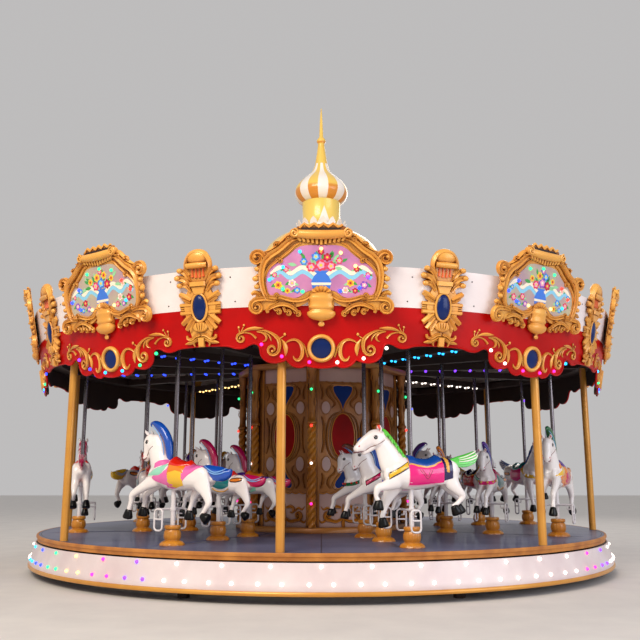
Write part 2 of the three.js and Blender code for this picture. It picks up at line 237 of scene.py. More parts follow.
# %% Gelcoats
red = painted("red_gelcoat", "C40302", "AA0201", 60, 0.42, 0.02, 0.0, 0.04, glint=0.18)
worn_orange = painted("worn_orange_gelcoat", "D0883C", "A86428", 90, 0.5, 0.08, 0.0, 0.0, blotch_mm=180)
white_board = painted("white_gelcoat", "F8EEEC", "ECDEDC", 60, 0.42, 0.03, 0.0, 0.15)
skirt_white = painted("skirt_gelcoat", "EEDFDE", "DFCBCC", 60, 0.34, 0.04, 0.0, 0.25)
petal_white = painted("dome_white_gelcoat", "F4ECE6", "EADCD2", 60, 0.38, 0.03, 0.0, 0.2)
roof_cream = painted("roof_gelcoat", "E8D5B0", "DAC196", 40, 0.5, 0.1)
gem_blue = painted("blue_gelcoat", "07266A", "051C50", 20, 0.22, 0.02, 0.0, 0.15, glint=0.25)
# The brown given for the panels' hollows is painted shade
panel_pink = painted("panel_gelcoat", "DDBBB0", "CBA296", 25, 0.4, 0.1, hollow_shade="7A4A38")
oval_red = painted("oval_red_enamel", "B00404", "8C0202", 40, 0.45, 0.02, 0.0, 0.0, glint=0.1)
deep_blue = painted("deep_blue_enamel", "0A3A88", "06266A", 40, 0.45, 0.02, 0.0, 0.0, glint=0.15)
dark_steel = painted("dark_painted_steel", "3A2823", "2A1A18", 10, 0.55, 0.3, 0.2)
# A dark brown for the ceiling and the backs of boards, partly painted shade
brown_and_shade = painted("dark_brown_and_shade", "35211D", "251512", 14, 0.6, 0.1)
chrome = painted("brushed_steel_tube", "8E8688", "746C70", 8, 0.26, 0.03, 0.9)
white_tube = painted("white_powder_coat", "EFEAEA", "E0D8DA", 6, 0.38, 0.08, 0.0, 0.2)

# %% [markdown]
# The lamps have eight colours. Each has an edge colour and a lighter one for its core.

# %% Lamp colours
LAMP_POWER = 2.6
lamp_colours = {"cyan": ("0090F0", "30B8F0"), "green": ("00C060", "30E088"), "blue": ("1020F0", "3050F8"),
                "violet": ("5A10F0", "8040F8"), "warm": ("FFB040", "FFE090"), "white": ("FFE0D0", "FFF8F0"),
                "magenta": ("F00880", "F830A0"), "red": ("F01008", "F84030")}
lamps = {name: glowing("lamp_" + name, edge, core, LAMP_POWER) for name, (edge, core) in lamp_colours.items()}
print(len(bpy.data.materials), "materials")

# %% [markdown]
# Most pieces here are turned, bent or carved, so they are made as points and faces. A shape collects closed
# shells with a paint for each face. It can be moved by any function of its points, which is how a flat
# carving is bent round the canopy.


# %% Shapes
class Shape:
    """Closed shells with a material for each face."""

    def __init__(self):
        self.points = np.zeros((0, 3))
        self.faces = []
        self.paints = []

    def add(self, points, faces, paint):
        first = len(self.points)
        self.points = np.vstack([self.points, np.asarray(points, float).reshape(-1, 3)])
        self.faces += [[corner + first for corner in face] for face in faces]
        self.paints += [paint] * len(faces)
        return self

    def join(self, other, move=None):
        """Adds another shape, with its points moved first."""
        first = len(self.points)
        points = other.points if move is None else move(other.points)
        self.points = np.vstack([self.points, points])
        self.faces += [[corner + first for corner in face] for face in other.faces]
        self.paints += other.paints
        return self

    def in_metres(self):
        """The shape, which was drawn in millimetres, in metres."""
        self.points = self.points / 1000
        return self

    def both_sides(self):
        """The shape with its mirror image across x = 0."""
        return self.join(self, lambda points: points * (-1, 1, 1))


# %% [markdown]
# A move takes points and gives them back somewhere else. Outlines that are alike on both sides are drawn
# for their right half and mirrored.


# %% Moves
def by_matrix(matrix):
    """A move of points by a 4x4 matrix."""
    turn = np.array(matrix.to_3x3())
    shift = np.array(matrix.translation)
    return lambda points: points @ turn.T + shift


def spun(azimuth):
    """A turn about the ride's axis."""
    return by_matrix(Matrix.Rotation(math.radians(azimuth), 4, "Z"))


def mirrored(half):
    """A closed outline from its right half, which starts and ends on the middle line."""
    return [tuple(point) for point in half] + [(-x, y) for x, y in half[-2:0:-1]]


# %% [markdown]
# A finished shape becomes one mesh, smooth up to an angle. It rides on the body that carries it, and it
# replaces the bare nodes that it covers.


# %% Pieces
def triangle_count(mesh):
    return sum(len(polygon.vertices) - 2 for polygon in mesh.polygons)


def made(name, shape, body, replaces=(), sharp=40):
    """Turns a shape into a piece with smooth faces, and lets it ride on a body."""
    mesh = bpy.data.meshes.new(name)
    mesh.from_pydata(shape.points.tolist(), [], shape.faces)
    paints = list(dict.fromkeys(shape.paints))
    for paint in paints:
        mesh.materials.append(paint)
    mesh.polygons.foreach_set("material_index", [paints.index(paint) for paint in shape.paints])
    work = bmesh.new()
    work.from_mesh(mesh)
    bmesh.ops.remove_doubles(work, verts=work.verts, dist=0.00002)
    bmesh.ops.recalc_face_normals(work, faces=work.faces)
    work.to_mesh(mesh)
    work.free()
    mesh.shade_smooth()
    mesh.set_sharp_from_angle(angle=math.radians(sharp))
    piece = placed(name, mesh)
    if body:
        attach(piece, body)
    if replaces:
        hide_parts(*replaces)
    print(f"{name}: {triangle_count(mesh)} triangles")
    return piece


# %% [markdown]
# A profile turned on the lathe gives every round piece. Its faces are a wall between rings of points, as in
# most shells here. A smooth line through a few points gives profiles and paths their curves.


# %% Turning
def wall(rings, size, closed=False):
    """Faces between rings of as many points each. A closed wall also joins the last ring to the first."""
    faces = []
    for ring in range(rings if closed else rings - 1):
        upper = (ring + 1) % rings
        for k in range(size):
            after = (k + 1) % size
            faces.append([ring * size + k, ring * size + after, upper * size + after, upper * size + k])
    return faces


def turned(shape, profile, sides, paint, wave=None):
    """Turns [radius, height] pairs about the axis. Off the axis the profile closes on itself."""
    angles = np.linspace(0, 2 * math.pi, sides, endpoint=False)
    points = []
    for row, (radius, height) in enumerate(profile):
        reach = radius * (wave(angles, row) if wave else np.ones(sides))
        points.append(np.stack([reach * np.sin(angles), -reach * np.cos(angles), np.full(sides, height)], 1))
    return shape.add(np.vstack(points), wall(len(profile), sides, profile[0][0] > 0), paint)


def smooth(points, steps=5):
    """A smooth line through the points, with some steps between each two."""
    points = np.asarray(points, float)
    ends = np.vstack([2 * points[0] - points[1], points, 2 * points[-1] - points[-2]])
    line = []
    for a, b, c, d in zip(ends, ends[1:], ends[2:], ends[3:]):
        for share in np.arange(steps) / steps:
            line.append(0.5 * (2 * b + (c - a) * share + (2 * a - 5 * b + 4 * c - d) * share ** 2
                               + (3 * b - a - 3 * c + d) * share ** 3))
    line.append(points[-1])
    return np.array(line)


# %% [markdown]
# A section swept along a path gives scrolls, leaves, rails and limbs. It may change its width on the way,
# and its back keeps towards one side, or else it follows the bends without twisting.


# %% Sweeping
def swept(shape, path, section, widths, paint, up=None, closed=False):
    """Sweeps a closed section of [across, out] pairs along a path. widths are [across, out] scales for the
    path's points, or a list of them that is spread along the path. out keeps towards up, if that is given."""
    path = np.asarray(path, float)
    count = len(path)
    ahead = np.roll(path, -1, 0) - np.roll(path, 1, 0) if closed else np.gradient(path, axis=0)
    ahead /= np.linalg.norm(ahead, axis=1)[:, None] + 1e-12
    widths = np.asarray(widths, float)
    if widths.ndim == 1:
        widths = np.stack([widths, widths], 1)
    marks = np.linspace(0, 1, len(widths))
    scale = np.stack([np.interp(np.linspace(0, 1, count), marks, widths[:, k]) for k in (0, 1)], 1)
    out = np.asarray(up if up is not None else (0.0, 0.0, 1.0), float)
    if up is None and abs(ahead[0] @ out) > 0.9:
        out = np.array((1.0, 0.0, 0.0))
    rings = []
    for k in range(count):
        flat = out - ahead[k] * (out @ ahead[k])
        flat /= np.linalg.norm(flat) + 1e-12
        side = np.cross(flat, ahead[k])
        rings.append([path[k] + side * a * scale[k][0] + flat * b * scale[k][1] for a, b in section])
        if up is None:
            out = flat
    size = len(section)
    faces = wall(count, size, closed)
    if not closed:
        faces.append(list(range(size)))
        faces.append(list(range((count - 1) * size, count * size)))
    return shape.add(np.array(rings).reshape(-1, 3), faces, paint)


# %% [markdown]
# The small stock of the carver: ellipses, spirals, balls, and the sections that strands are cut to.


# %% Small shapes
def ellipse(centre, across, rise, degrees):
    """Points of an ellipse at some angles."""
    turns = np.radians(degrees)
    return np.column_stack([centre[0] + across * np.cos(turns), centre[1] + rise * np.sin(turns)])


def circle(sides):
    """A round section."""
    return ellipse((0, 0), 1, 1, np.arange(sides) * 360 / sides).tolist()


def spiral(centre, radius, end_radius, start, turns):
    """Points of a flat spiral, in millimetres. start is in degrees, and negative turns run clockwise."""
    count = max(4, int(abs(turns) * (7 + radius * 0.08)))
    shares = np.linspace(0, 1, count)
    angles = np.radians(start + 360 * turns * shares)
    reach = radius + (end_radius - radius) * shares ** 0.8
    return np.column_stack([centre[0] + reach * np.cos(angles), centre[1] + reach * np.sin(angles)])


def ball(shape, centre, size, paint, sides=8, rows=5):
    """An ellipsoid with half sizes along x, y and z."""
    points = []
    for row in range(rows + 1):
        tilt = math.pi * row / rows - math.pi / 2
        for k in range(sides):
            turn = 2 * math.pi * k / sides
            points.append((math.cos(tilt) * math.cos(turn), math.cos(tilt) * math.sin(turn), math.sin(tilt)))
    return shape.add(np.array(points) * size + centre, wall(rows + 1, sides), paint)


# A carved strand has two raised rims and a hollow between them
CARVED = [(-1, -0.5), (-1, 0.25), (-0.72, 0.95), (0, 0.42), (0.72, 0.95), (1, 0.25), (1, -0.5)]
# A leaf has one sharp midrib
LEAF = [(-1, -0.3), (-0.9, 0.2), (-0.35, 0.55), (0, 1), (0.35, 0.55), (0.9, 0.2), (1, -0.3)]
# A lock of hair is rounder, with one groove
HAIR = [(-1, -0.4), (-0.75, 0.8), (0, 0.45), (0.75, 0.8), (1, -0.4)]
BEAD = circle(6)

# %% [markdown]
# Everything that repeats is set out by one Geometry Nodes tree: it takes a mesh of bare points, puts a
# pattern piece on each, turned by the angles stored on the point, and makes the copies real. The pattern,
# its size and its paint are inputs with names.


# %% Setting out copies
def setting_out_tree():
    tree = bpy.data.node_groups.new("set_out_copies", "GeometryNodeTree")
    sockets = tree.interface
    sockets.new_socket("Points", in_out="INPUT", socket_type="NodeSocketGeometry")
    sockets.new_socket("Pattern", in_out="INPUT", socket_type="NodeSocketObject")
    sockets.new_socket("Size", in_out="INPUT", socket_type="NodeSocketFloat")
    sockets.new_socket("Paint", in_out="INPUT", socket_type="NodeSocketMaterial")
    sockets.new_socket("Copies", in_out="OUTPUT", socket_type="NodeSocketGeometry")
    inlet = add(tree, "NodeGroupInput")
    angles = add(tree, "GeometryNodeInputNamedAttribute", {"Name": "turn"}, data_type="FLOAT_VECTOR")
    pattern = add(tree, "GeometryNodeObjectInfo", {"Object": inlet.outputs["Pattern"]})
    copies = add(tree, "GeometryNodeInstanceOnPoints", {
        "Points": inlet.outputs["Points"], "Instance": pattern.outputs["Geometry"],
        "Rotation": angles.outputs["Attribute"], "Scale": inlet.outputs["Size"]})
    real = add(tree, "GeometryNodeRealizeInstances", {"Geometry": copies.outputs[0]})
    dressed = add(tree, "GeometryNodeSetMaterial", {"Geometry": real.outputs[0],
                                                    "Material": inlet.outputs["Paint"]})
    add(tree, "NodeGroupOutput", {"Copies": dressed.outputs[0]})
    return tree


set_out = setting_out_tree()

# %% [markdown]
# What modifiers make is turned into a plain mesh before a piece is handed over. One helper does it for the
# copies, the drilled deck, the ropes and the horses' skins.


# %% Growing and copying
def grown(thing):
    """A plain mesh of what an object's modifiers make."""
    bpy.context.view_layer.update()
    return bpy.data.meshes.new_from_object(thing.evaluated_get(bpy.context.evaluated_depsgraph_get()))


def baked(holder, tree, values, name, body, sharp=40):
    """Gives a tree its named inputs, and turns what it grows on the holder into a plain mesh piece."""
    modifier = holder.modifiers.new("grow", "NODES")
    modifier.node_group = tree
    for item in tree.interface.items_tree:
        if item.in_out == "INPUT" and item.name in values:
            modifier[item.identifier] = values[item.name]
    mesh = grown(holder)
    mesh.name = name
    mesh.shade_smooth()
    mesh.set_sharp_from_angle(angle=math.radians(sharp))
    holder.modifiers.clear()
    bpy.data.objects.remove(holder)
    piece = placed(name, mesh)
    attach(piece, body)
    print(f"{name}: {len(mesh.polygons)} faces")
    return piece


def bare_points(name, places):
    """An object that is only points, for a tree to grow on."""
    mesh = bpy.data.meshes.new(name)
    mesh.from_pydata([tuple(place) for place in places], [], [])
    return placed(name, mesh)


def copies(name, stands, pattern, paint, body):
    """Copies of a pattern shape. stands are pairs of a place and its Euler angles."""
    places, turns = zip(*stands)
    holder = bare_points(name + "_points", places)
    angles = holder.data.attributes.new("turn", "FLOAT_VECTOR", "POINT")
    angles.data.foreach_set("vector", np.asarray(turns, float).ravel())
    master = made(name + "_pattern", pattern, None)
    piece = baked(holder, set_out, {"Pattern": master, "Size": 1.0, "Paint": paint}, name, body)
    bpy.data.objects.remove(master)
    return piece


def facing(azimuth, tilt=0.0):
    """Euler angles that turn a pattern's z outwards at an azimuth, tilted up from the horizon."""
    return (math.radians(90 - tilt), 0.0, math.radians(azimuth))


# %% [markdown]
# The base stands still. Its skirt is a flared band of white gelcoat panels over eight beams, with a gold
# bead at its foot. The panels meet in thin shadow gaps, so a groove is turned into the shell at each joint.

# %% Skirt
SKIRT_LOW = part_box("skirt")[0].z
SKIRT_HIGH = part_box("skirt")[1].z
PANEL = 18
FACE_ROWS = 6
skirt = Shape()


def panel_gaps(angles, row):
    """Pulls the face in where two of the twenty skirt panels meet."""
    near = np.abs((np.degrees(angles) + PANEL / 2) % PANEL - PANEL / 2)
    return np.where((near < 0.14) & (row < FACE_ROWS), 0.9985, 1.0)


skirt_profile = [(3.842, SKIRT_LOW), (3.846, 0.150), (3.834, 0.185), (3.812, 0.260), (3.796, 0.330),
                 (3.789, SKIRT_HIGH), (3.774, SKIRT_HIGH), (3.826, SKIRT_LOW)]
turned(skirt, skirt_profile, 400, skirt_white, panel_gaps)
made("skirt_panels", skirt, "base", ["skirt"])

trim = Shape()
trim_profile = [(3.826, 0.084), (3.852, 0.084), (3.859, 0.094), (3.859, 0.108), (3.853, 0.119),
                (3.848, 0.1245), (3.826, 0.1245)]
turned(trim, trim_profile, 160, gold_tube)
made("skirt_foot_trim", trim, "base", ["skirt_trim"])

# %% [markdown]
# The seams between the deck's plates and its worn paint are in the material, where they cost no faces. A
# seam lies where the angle or the radius comes round to the edge of a plate.

# %% Deck paint
PLATE_TURN = math.radians(22.5)
PLATE_LONG = 0.62
deck_paint = painted("worn_deck_paint", "6C6F90", "555877", 9, 0.5, 0.35, 0.1, 0.15, blotch_mm=700)
deck_tree = deck_paint.node_tree
deck_shader = next(node for node in deck_tree.nodes if node.type == "BSDF_PRINCIPLED")
deck_place = add(deck_tree, "ShaderNodeTexCoord").outputs["Object"]
split = add(deck_tree, "ShaderNodeSeparateXYZ", {"Vector": deck_place})
angle = add(deck_tree, "ShaderNodeMath", {0: split.outputs[1], 1: split.outputs[0]}, operation="ARCTAN2")
sector = add(deck_tree, "ShaderNodeMath", {0: angle.outputs[0], 1: PLATE_TURN}, operation="PINGPONG")
level_place = add(deck_tree, "ShaderNodeCombineXYZ", {"X": split.outputs[0], "Y": split.outputs[1]})
reach = add(deck_tree, "ShaderNodeVectorMath", {0: level_place.outputs[0]}, operation="LENGTH")
arc = add(deck_tree, "ShaderNodeMath", {0: sector.outputs[0], 1: reach.outputs["Value"]},
          operation="MULTIPLY")
band = add(deck_tree, "ShaderNodeMath", {0: reach.outputs["Value"], 1: PLATE_LONG}, operation="PINGPONG")
near = add(deck_tree, "ShaderNodeMath", {0: arc.outputs[0], 1: band.outputs[0]}, operation="MINIMUM")
seam = add(deck_tree, "ShaderNodeMapRange", {"Value": near.outputs[0], "From Min": 0.004, "From Max": 0.009})
worn = deck_shader.inputs["Base Color"].links[0].from_socket
seamed = add(deck_tree, "ShaderNodeMix", {0: seam.outputs[0], 6: linear("23233A"), 7: worn}, data_type="RGBA")
deck_tree.links.new(seamed.outputs[2], deck_shader.inputs["Base Color"])
print("deck paint:", len(deck_tree.nodes), "nodes")

# %% [markdown]
# The deck is a disc of tread plate with 24 holes for the poles. One joined cutter drills them all.

# %% Deck
DECK_RADIUS = 3.750
BORE = 0.034
POLE_RINGS = {"outer": 3.275, "middle": 2.460, "inner": 1.850}
pole_places = [around(radius, azimuth, 0) for azimuth in ROWS for radius in POLE_RINGS.values()]
disc = Shape()
turned(disc, [(0, DECK - 0.040), (DECK_RADIUS, DECK - 0.040), (DECK_RADIUS, DECK - 0.004),
              (DECK_RADIUS - 0.004, DECK), (0, DECK)], 160, deck_paint)
deck_piece = made("deck_plates", disc, None)
hole = Shape()
turned(hole, [(0, 0.35), (BORE, 0.35), (BORE, 0.6), (0, 0.6)], 16, deck_paint)
drill = Shape()
for place in pole_places:
    drill.join(hole, by_matrix(Matrix.Translation(place)))
drill_piece = made("deck_drill", drill, None)
cut = deck_piece.modifiers.new("holes", "BOOLEAN")
cut.object = drill_piece
cut.operation = "DIFFERENCE"
deck_mesh = grown(deck_piece)
deck_piece.modifiers.clear()
deck_piece.data = deck_mesh
bpy.data.objects.remove(drill_piece)
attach(deck_piece, "turntable")
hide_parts("deck")

# %% [markdown]
# The deck's edge is a rolled nosing, painted orange and rubbed by many shoes.

# %% Nosing
nosing = Shape()
nosing_profile = [(3.7505, DECK - 0.073), (3.764, DECK - 0.073), (3.764, DECK - 0.045), (3.769, DECK - 0.038),
                  (3.776, DECK - 0.032), (3.777, DECK - 0.008), (3.770, DECK), (3.7505, DECK)]
turned(nosing, nosing_profile, 160, worn_orange)
made("deck_nosing", nosing, "turntable", ["deck_edge"])

# %% [markdown]
# Under every pole stands a pedestal, a cast baluster with gadroons: fat ribs that run down its bulb. Ribs
# like these are a wave in the radius that fades out at the collar and the foot. The set-out tree puts all
# 24 down.

# %% Pedestals
PEDESTAL = 0.207
pedestal_profile = [(0.030, 0.0), (0.133, 0.0), (0.134, 0.008), (0.127, 0.022), (0.110, 0.036),
                    (0.090, 0.046), (0.080, 0.050), (0.079, 0.056), (0.086, 0.066), (0.091, 0.086),
                    (0.092, 0.108), (0.089, 0.130), (0.083, 0.148), (0.074, 0.158), (0.073, 0.163),
                    (0.082, 0.167), (0.086, 0.176), (0.086, 0.194), (0.082, 0.203), (0.070, 0.206),
                    (0.044, PEDESTAL), (0.030, PEDESTAL)]


def gadroons(angles, row):
    """Ribs on the bulb, petals on the foot and a plain collar."""
    swell = {1: 0.03, 2: 0.08, 3: 0.09, 4: 0.07, 5: 0.04, 8: 0.07, 9: 0.11, 10: 0.12, 11: 0.11, 12: 0.07}
    lobes = 5 if row < 6 else 8
    return 1 + swell.get(row, 0.0) * (np.abs(np.cos(angles * lobes)) ** 0.7 - 1)


pedestal = Shape()
turned(pedestal, pedestal_profile, 40, amber, gadroons)
copies("pedestals", [((x, y, DECK), (0, 0, 0)) for x, y, z in pole_places], pedestal, amber, "turntable")

# %% [markdown]
# Eight plain gold tubes carry the canopy. They are the quietest pieces of the ride, so they only need a
# good round and the sheen of sprayed steel.

# %% Posts
TUBE = 0.0445
post = Shape()
height = CEILING_LOW - DECK - 2 * GAP
turned(post, [(0, 0), (TUBE, 0), (TUBE, height - 0.012), (TUBE, height), (0, height)], 32, gold_tube)
post_stands = [(around(POST_RING, azimuth, DECK + GAP), (0, 0, 0)) for azimuth in CORNERS]
posts = copies("canopy_posts", post_stands, post, gold_tube, "turntable")
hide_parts(*[f"post_{k}" for k in range(1, 9)])

# %% [markdown]
# The valance is a red board cut to lobes, with a rolled rim. Its lower edge was read off as runs between
# cusps, from the middle of a bay and the height of its medallion. It is given in millimetres, as all the
# flat carvings are. Both halves of a bay are alike.

# %% Valance edge
MEDALLION = DECK + 1.940
BAY_HALF = board_radius(MEDALLION) * math.radians(18)
EDGE_RUNS = [
    [(0, -196), (80, -190), (154, -172)],
    [(154, -172), (188, -187), (228, -190), (290, -170), (345, -115)],
    [(345, -115), (400, -134), (475, -142), (545, -122), (592, -72), (608, 12)],
    [(608, 12), (632, 42), (674, 52), (720, 38)],
    [(720, 38), (762, 16), (814, 8), (872, 16), (930, 34), (1030, 42), (1000 * BAY_HALF, 46)],
]
half_edge = np.vstack([smooth(run, 3)[:-1] for run in EDGE_RUNS] + [[EDGE_RUNS[-1][-1]]]) / 1000
bay_edge = np.vstack([half_edge[::-1] * (-1, 1), half_edge[1:]])[:-1]


def on_boards(azimuth, height=MEDALLION):
    """Bends a flat carving round the leaning boards, with its origin at an azimuth and height."""
    def move(points):
        turn = math.radians(azimuth) + points[:, 0] / board_radius(height)
        rise = height + points[:, 1] * math.cos(LEAN)
        reach = board_radius(rise) + points[:, 2] * math.cos(LEAN)
        fall = points[:, 2] * math.sin(LEAN)
        return np.column_stack([reach * np.sin(turn), -reach * np.cos(turn), rise - fall])
    return move


print("edge of a bay:", len(bay_edge), "points")

# %% [markdown]
# The board is drawn flat as rows of points, from its back round the front and over to the back again, and
# then bent. Its back is dark brown like the ceiling, partly its own paint and partly painted shade.

# %% Valance board
BOARD_ROWS = [(0.0, -0.010), (0.0, 0.0), (0.33, 0.0), (0.66, 0.0), (1.0, 0.0), (1.0, -0.010), (0.5, -0.010)]
valance = Shape()
valance_top = (BOARD_LOW - GAP - MEDALLION) / math.cos(LEAN)
edge_line = np.vstack([bay_edge + (2 * BAY_HALF * k, 0) for k in range(10)])
columns = len(edge_line)
board_points = [(x, low + (valance_top - low) * share, out)
                for share, out in BOARD_ROWS for x, low in edge_line]
valance.add(on_boards(0)(np.array(board_points)), wall(len(BOARD_ROWS), columns, True), red)
# The back of the board is the dark brown, partly painted shade
valance.paints[5 * columns:] = [brown_and_shade] * (2 * columns)
rim_path = np.column_stack([edge_line, np.zeros(columns)]) + (0, 0.006, 0.001)
swept(valance, on_boards(0)(rim_path), circle(6), [0.011, 0.011], red, closed=True, up=(0, 0, 1))
made("valance_board", valance, "turntable", ["valance"])

# %% [markdown]
# Each strand of the carvings is a swept section along a few points read from the real one, drawn flat with
# its back at the board. A curl runs on into a spiral and ends in a knob.


# %% Carved strands
def strand(shape, points, widths, thick=18, section=CARVED, steps=3, paint=gold, base=4):
    """One carved strand on the flat, with its back at the board."""
    line = smooth(points, steps)
    line = np.column_stack([line, np.full(len(line), base)])
    scale = [(width, min(thick, width * 1.1)) for width in widths]
    return swept(shape, line, section, scale, paint, up=(0, 0, 1))


def curl(shape, lead, centre, radius, end_radius, start, turns, widths, thick=22, paint=gold, base=4):
    """A strand that leads into a spiral and ends in a knob at its eye."""
    path = np.vstack([smooth(lead, 3)[:-1], spiral(centre, radius, end_radius, start, turns)])
    path = np.column_stack([path, np.full(len(path), base)])
    scale = [(width, min(thick, width * 1.15)) for width in widths]
    swept(shape, path, CARVED, scale, paint, up=(0, 0, 1))
    eye = (path[-1][0], path[-1][1], base + thick * 0.35)
    ball(shape, eye, (end_radius * 0.9, end_radius * 0.9, thick * 0.8), paint, 7, 4)


def bowed(root, tip, across=0, rise=0):
    """Three points from root to tip, with the middle one moved."""
    return [root, ((root[0] + tip[0]) / 2 + across, (root[1] + tip[1]) / 2 + rise), tip]


# %% [markdown]
# The rinceau on each half bay grows out of the medallion: an arch with a hook, a hanging leaf, a big
# volute, a trunk with a curled side leaf, and a long leaf that ends in a small spiral with buds.


# %% Valance scrollwork
def rinceau():
    carving = Shape()
    strand(carving, [(353, 50), (321, 74), (273, 87), (232, 77), (199, 42),
                     (184, -12), (188, -65), (210, -104), (238, -116), (264, -100),
                     (276, -74)], [6, 10, 14, 19, 21, 17, 12, 4])
    strand(carving, [(240, 88), (196, 60), (162, 14), (146, -40), (130, -86)],
           [5, 9, 10, 8])
    strand(carving, [(392, 90), (362, 48), (350, 4), (349, -36), (353, -72)],
           [5, 20, 24, 16, 2], section=LEAF)
    curl(carving, [(452, 124), (420, 92), (408, 45), (413, -10)], (481, -6), 64, 18,
         195, 1.2, [16, 21, 19, 16, 14, 12, 10], 26)
    strand(carving, [(410, 80), (438, 116), (470, 142), (505, 163), (558, 182),
                     (636, 178)], [20, 19, 15, 12, 8, 3])
    strand(carving, [(632, 172), (580, 163), (548, 142), (536, 112), (549, 85),
                     (578, 73)], [4, 10, 13, 12, 8, 2])
    strand(carving, [(560, 172), (516, 138), (496, 104), (490, 74)], [4, 10, 9, 2])
    strand(carving, [(412, 98), (388, 110), (366, 126)], [8, 6, 4], section=BEAD)
    ball(carving, (355, 140, 10), (14, 17, 12), gold)
    strand(carving, [(786, 172), (713, 200), (653, 206), (610, 205), (566, 205)],
           [6, 15, 18, 13, 2], section=LEAF)
    strand(carving, [(641, 108), (665, 134), (692, 154), (737, 166), (786, 165)],
           [12, 9, 7, 6, 6])
    curl(carving, [(760, 172), (790, 166)], (793, 112), 52, 13, 80, -1.25,
         [10, 14, 13, 12, 10, 8], 20)
    for bend, bud in ((((804, 168), (811, 192), (812, 208)), (812, 221)),
                      (((794, 168), (778, 200), (765, 226)), (758, 240))):
        strand(carving, bend, [6, 5, 4], section=BEAD)
        ball(carving, (bud[0], bud[1], 9), (12, 14, 11), gold)
    return carving.in_metres()


scrolls = Shape()
half_rinceau = rinceau().both_sides()
for azimuth in BAYS:
    scrolls.join(half_rinceau, on_boards(azimuth))
made("valance_scrollwork", scrolls, "turntable")

# %% [markdown]
# A medallion sits in the middle of each bay: a gold ring round a blue boss.

# %% Medallions
medal = Shape()
medal_profile = [(0.098, 0.004), (0.100, 0.022), (0.108, 0.033), (0.118, 0.037), (0.128, 0.033),
                 (0.137, 0.020), (0.1395, 0.0), (0.098, -0.008)]
turned(medal, medal_profile, 40, gold)
boss_profile = [(0, -0.006), (0.101, -0.006), (0.101, 0.008), (0.080, 0.012), (0.050, 0.015), (0, 0.016)]
turned(medal, boss_profile, 40, gem_blue)
medallions = Shape()
for azimuth in BAYS:
    medallions.join(medal, on_boards(azimuth))
made("valance_medallions", medallions, "turntable")

# %% [markdown]
# Above the valance a white board runs round. It stands a little proud of the cone that the carvings are
# measured from. Pilasters cover its joints, and the picture frames stand in the middle of the bays.

# %% Crown board
PROUD = 0.002
board = Shape()
low_radius = board_radius(BOARD_LOW) + PROUD
high_radius = board_radius(BOARD_HIGH) + PROUD
turned(board, [(low_radius, BOARD_LOW), (high_radius, BOARD_HIGH), (high_radius - 0.010, BOARD_HIGH),
               (low_radius - 0.010, BOARD_LOW)], 200, white_board)
print("crown board:", round(low_radius, 3), "to", round(high_radius, 3))

# %% [markdown]
# Pilasters and frames are carved on a flat plate that leans with the boards. A slab is such a plate, with a
# small bevel on its front.


# %% Flat plates
def leaning(azimuth, height, proud):
    """Stands a flat carving on the leaning boards: its x across, its y up the lean and its z out."""
    return by_matrix(Matrix.Rotation(math.radians(azimuth), 4, "Z")
                     @ Matrix.Translation((0, -board_radius(height) - proud, height))
                     @ Matrix.Rotation(math.pi / 2 + LEAN, 4, "X"))


def slab(shape, outline, low, high, paint, edge=6):
    """A flat plate with an outline, from one level to another."""
    outline = np.asarray(outline, float)
    middle = outline.mean(0)
    inner = middle + (outline - middle) * (1 - edge / np.abs(outline - middle).max())
    count = len(outline)
    levels = [(outline, low), (outline, high - edge), (inner, high)]
    points = np.vstack([np.column_stack([ring, np.full(count, level)]) for ring, level in levels])
    faces = wall(3, count) + [list(range(count)), list(range(2 * count, 3 * count))]
    return shape.add(points, faces, paint)


# %% [markdown]
# A pilaster is a shell niche over an oval gem, set on rays and leaves. First come the carvings of one half,
# from the hood down to the tongue at its foot.

# %% Half a pilaster
CURLED_TIPS = (((206, 786), (85, 650), 32), ((238, 712), (80, 600), 36), ((214, 636), (85, 560), 30))
LEAF_TIPS = (((218, 545), (95, 475), 36), ((190, 500), (100, 450), 26), ((206, 240), (95, 330), 32),
             ((162, 182), (80, 290), 30), ((110, 155), (55, 265), 28))
RAYS = ((432, 222, 22), (404, 222.5, 10), (384, 222.5, 10), (352, 218, 24))


def pilaster_half():
    half = Shape()
    hood_line = ellipse((0, 815), 128, 138, range(-40, 91, 13))
    strand(half, hood_line, [26, 30, 34, 36], 58, LEAF, 3, base=22)
    strand(half, [(118, 850), (98, 892), (60, 902), (24, 888), (0, 872)], [12, 16, 20, 18, 12], 50, base=30)
    for tip, root, width in CURLED_TIPS:
        strand(half, bowed(root, tip, -12, 30), [width * 0.6, width, width * 0.8], 34, CARVED, 4, base=18)
        ball(half, (tip[0] - 8, tip[1] - 6, 36), (34, 28, 26), gold, 10, 6)
    for tip, root, width in LEAF_TIPS:
        strand(half, bowed(root, tip), [width * 0.8, width, width * 0.75], 36, LEAF, 3, base=16)
    for level, reach, width in RAYS:
        strand(half, [(90, level), (160, level), (reach, level)], [width, width, width * 0.9], 30, BEAD, 2,
               base=12)
    strand(half, [(12, 128), (60, 118), (105, 85), (150, 95), (158, 125)], [20, 18, 16, 14, 10], 36, base=22)
    strand(half, [(30, 100), (90, 62), (140, 50), (185, 40)], [20, 24, 18, 4], 32, LEAF, base=20)
    strand(half, [(30, 75), (68, 66), (86, 40), (76, 12)], [12, 12, 10, 6], 28, base=22)
    return half


# %% [markdown]
# The whole pilaster adds the back plate, four drips under the hood in an orange that is painted shade, the
# ledges, a shell near the foot and the gem in its ring.

# %% Pilaster
# The drips' orange stands for the shade under the hood: painted shade
hood_shade_orange = painted("hood_shade_orange_paint", "EE7A3C", "E0602C", 20, 0.35, 0.04)


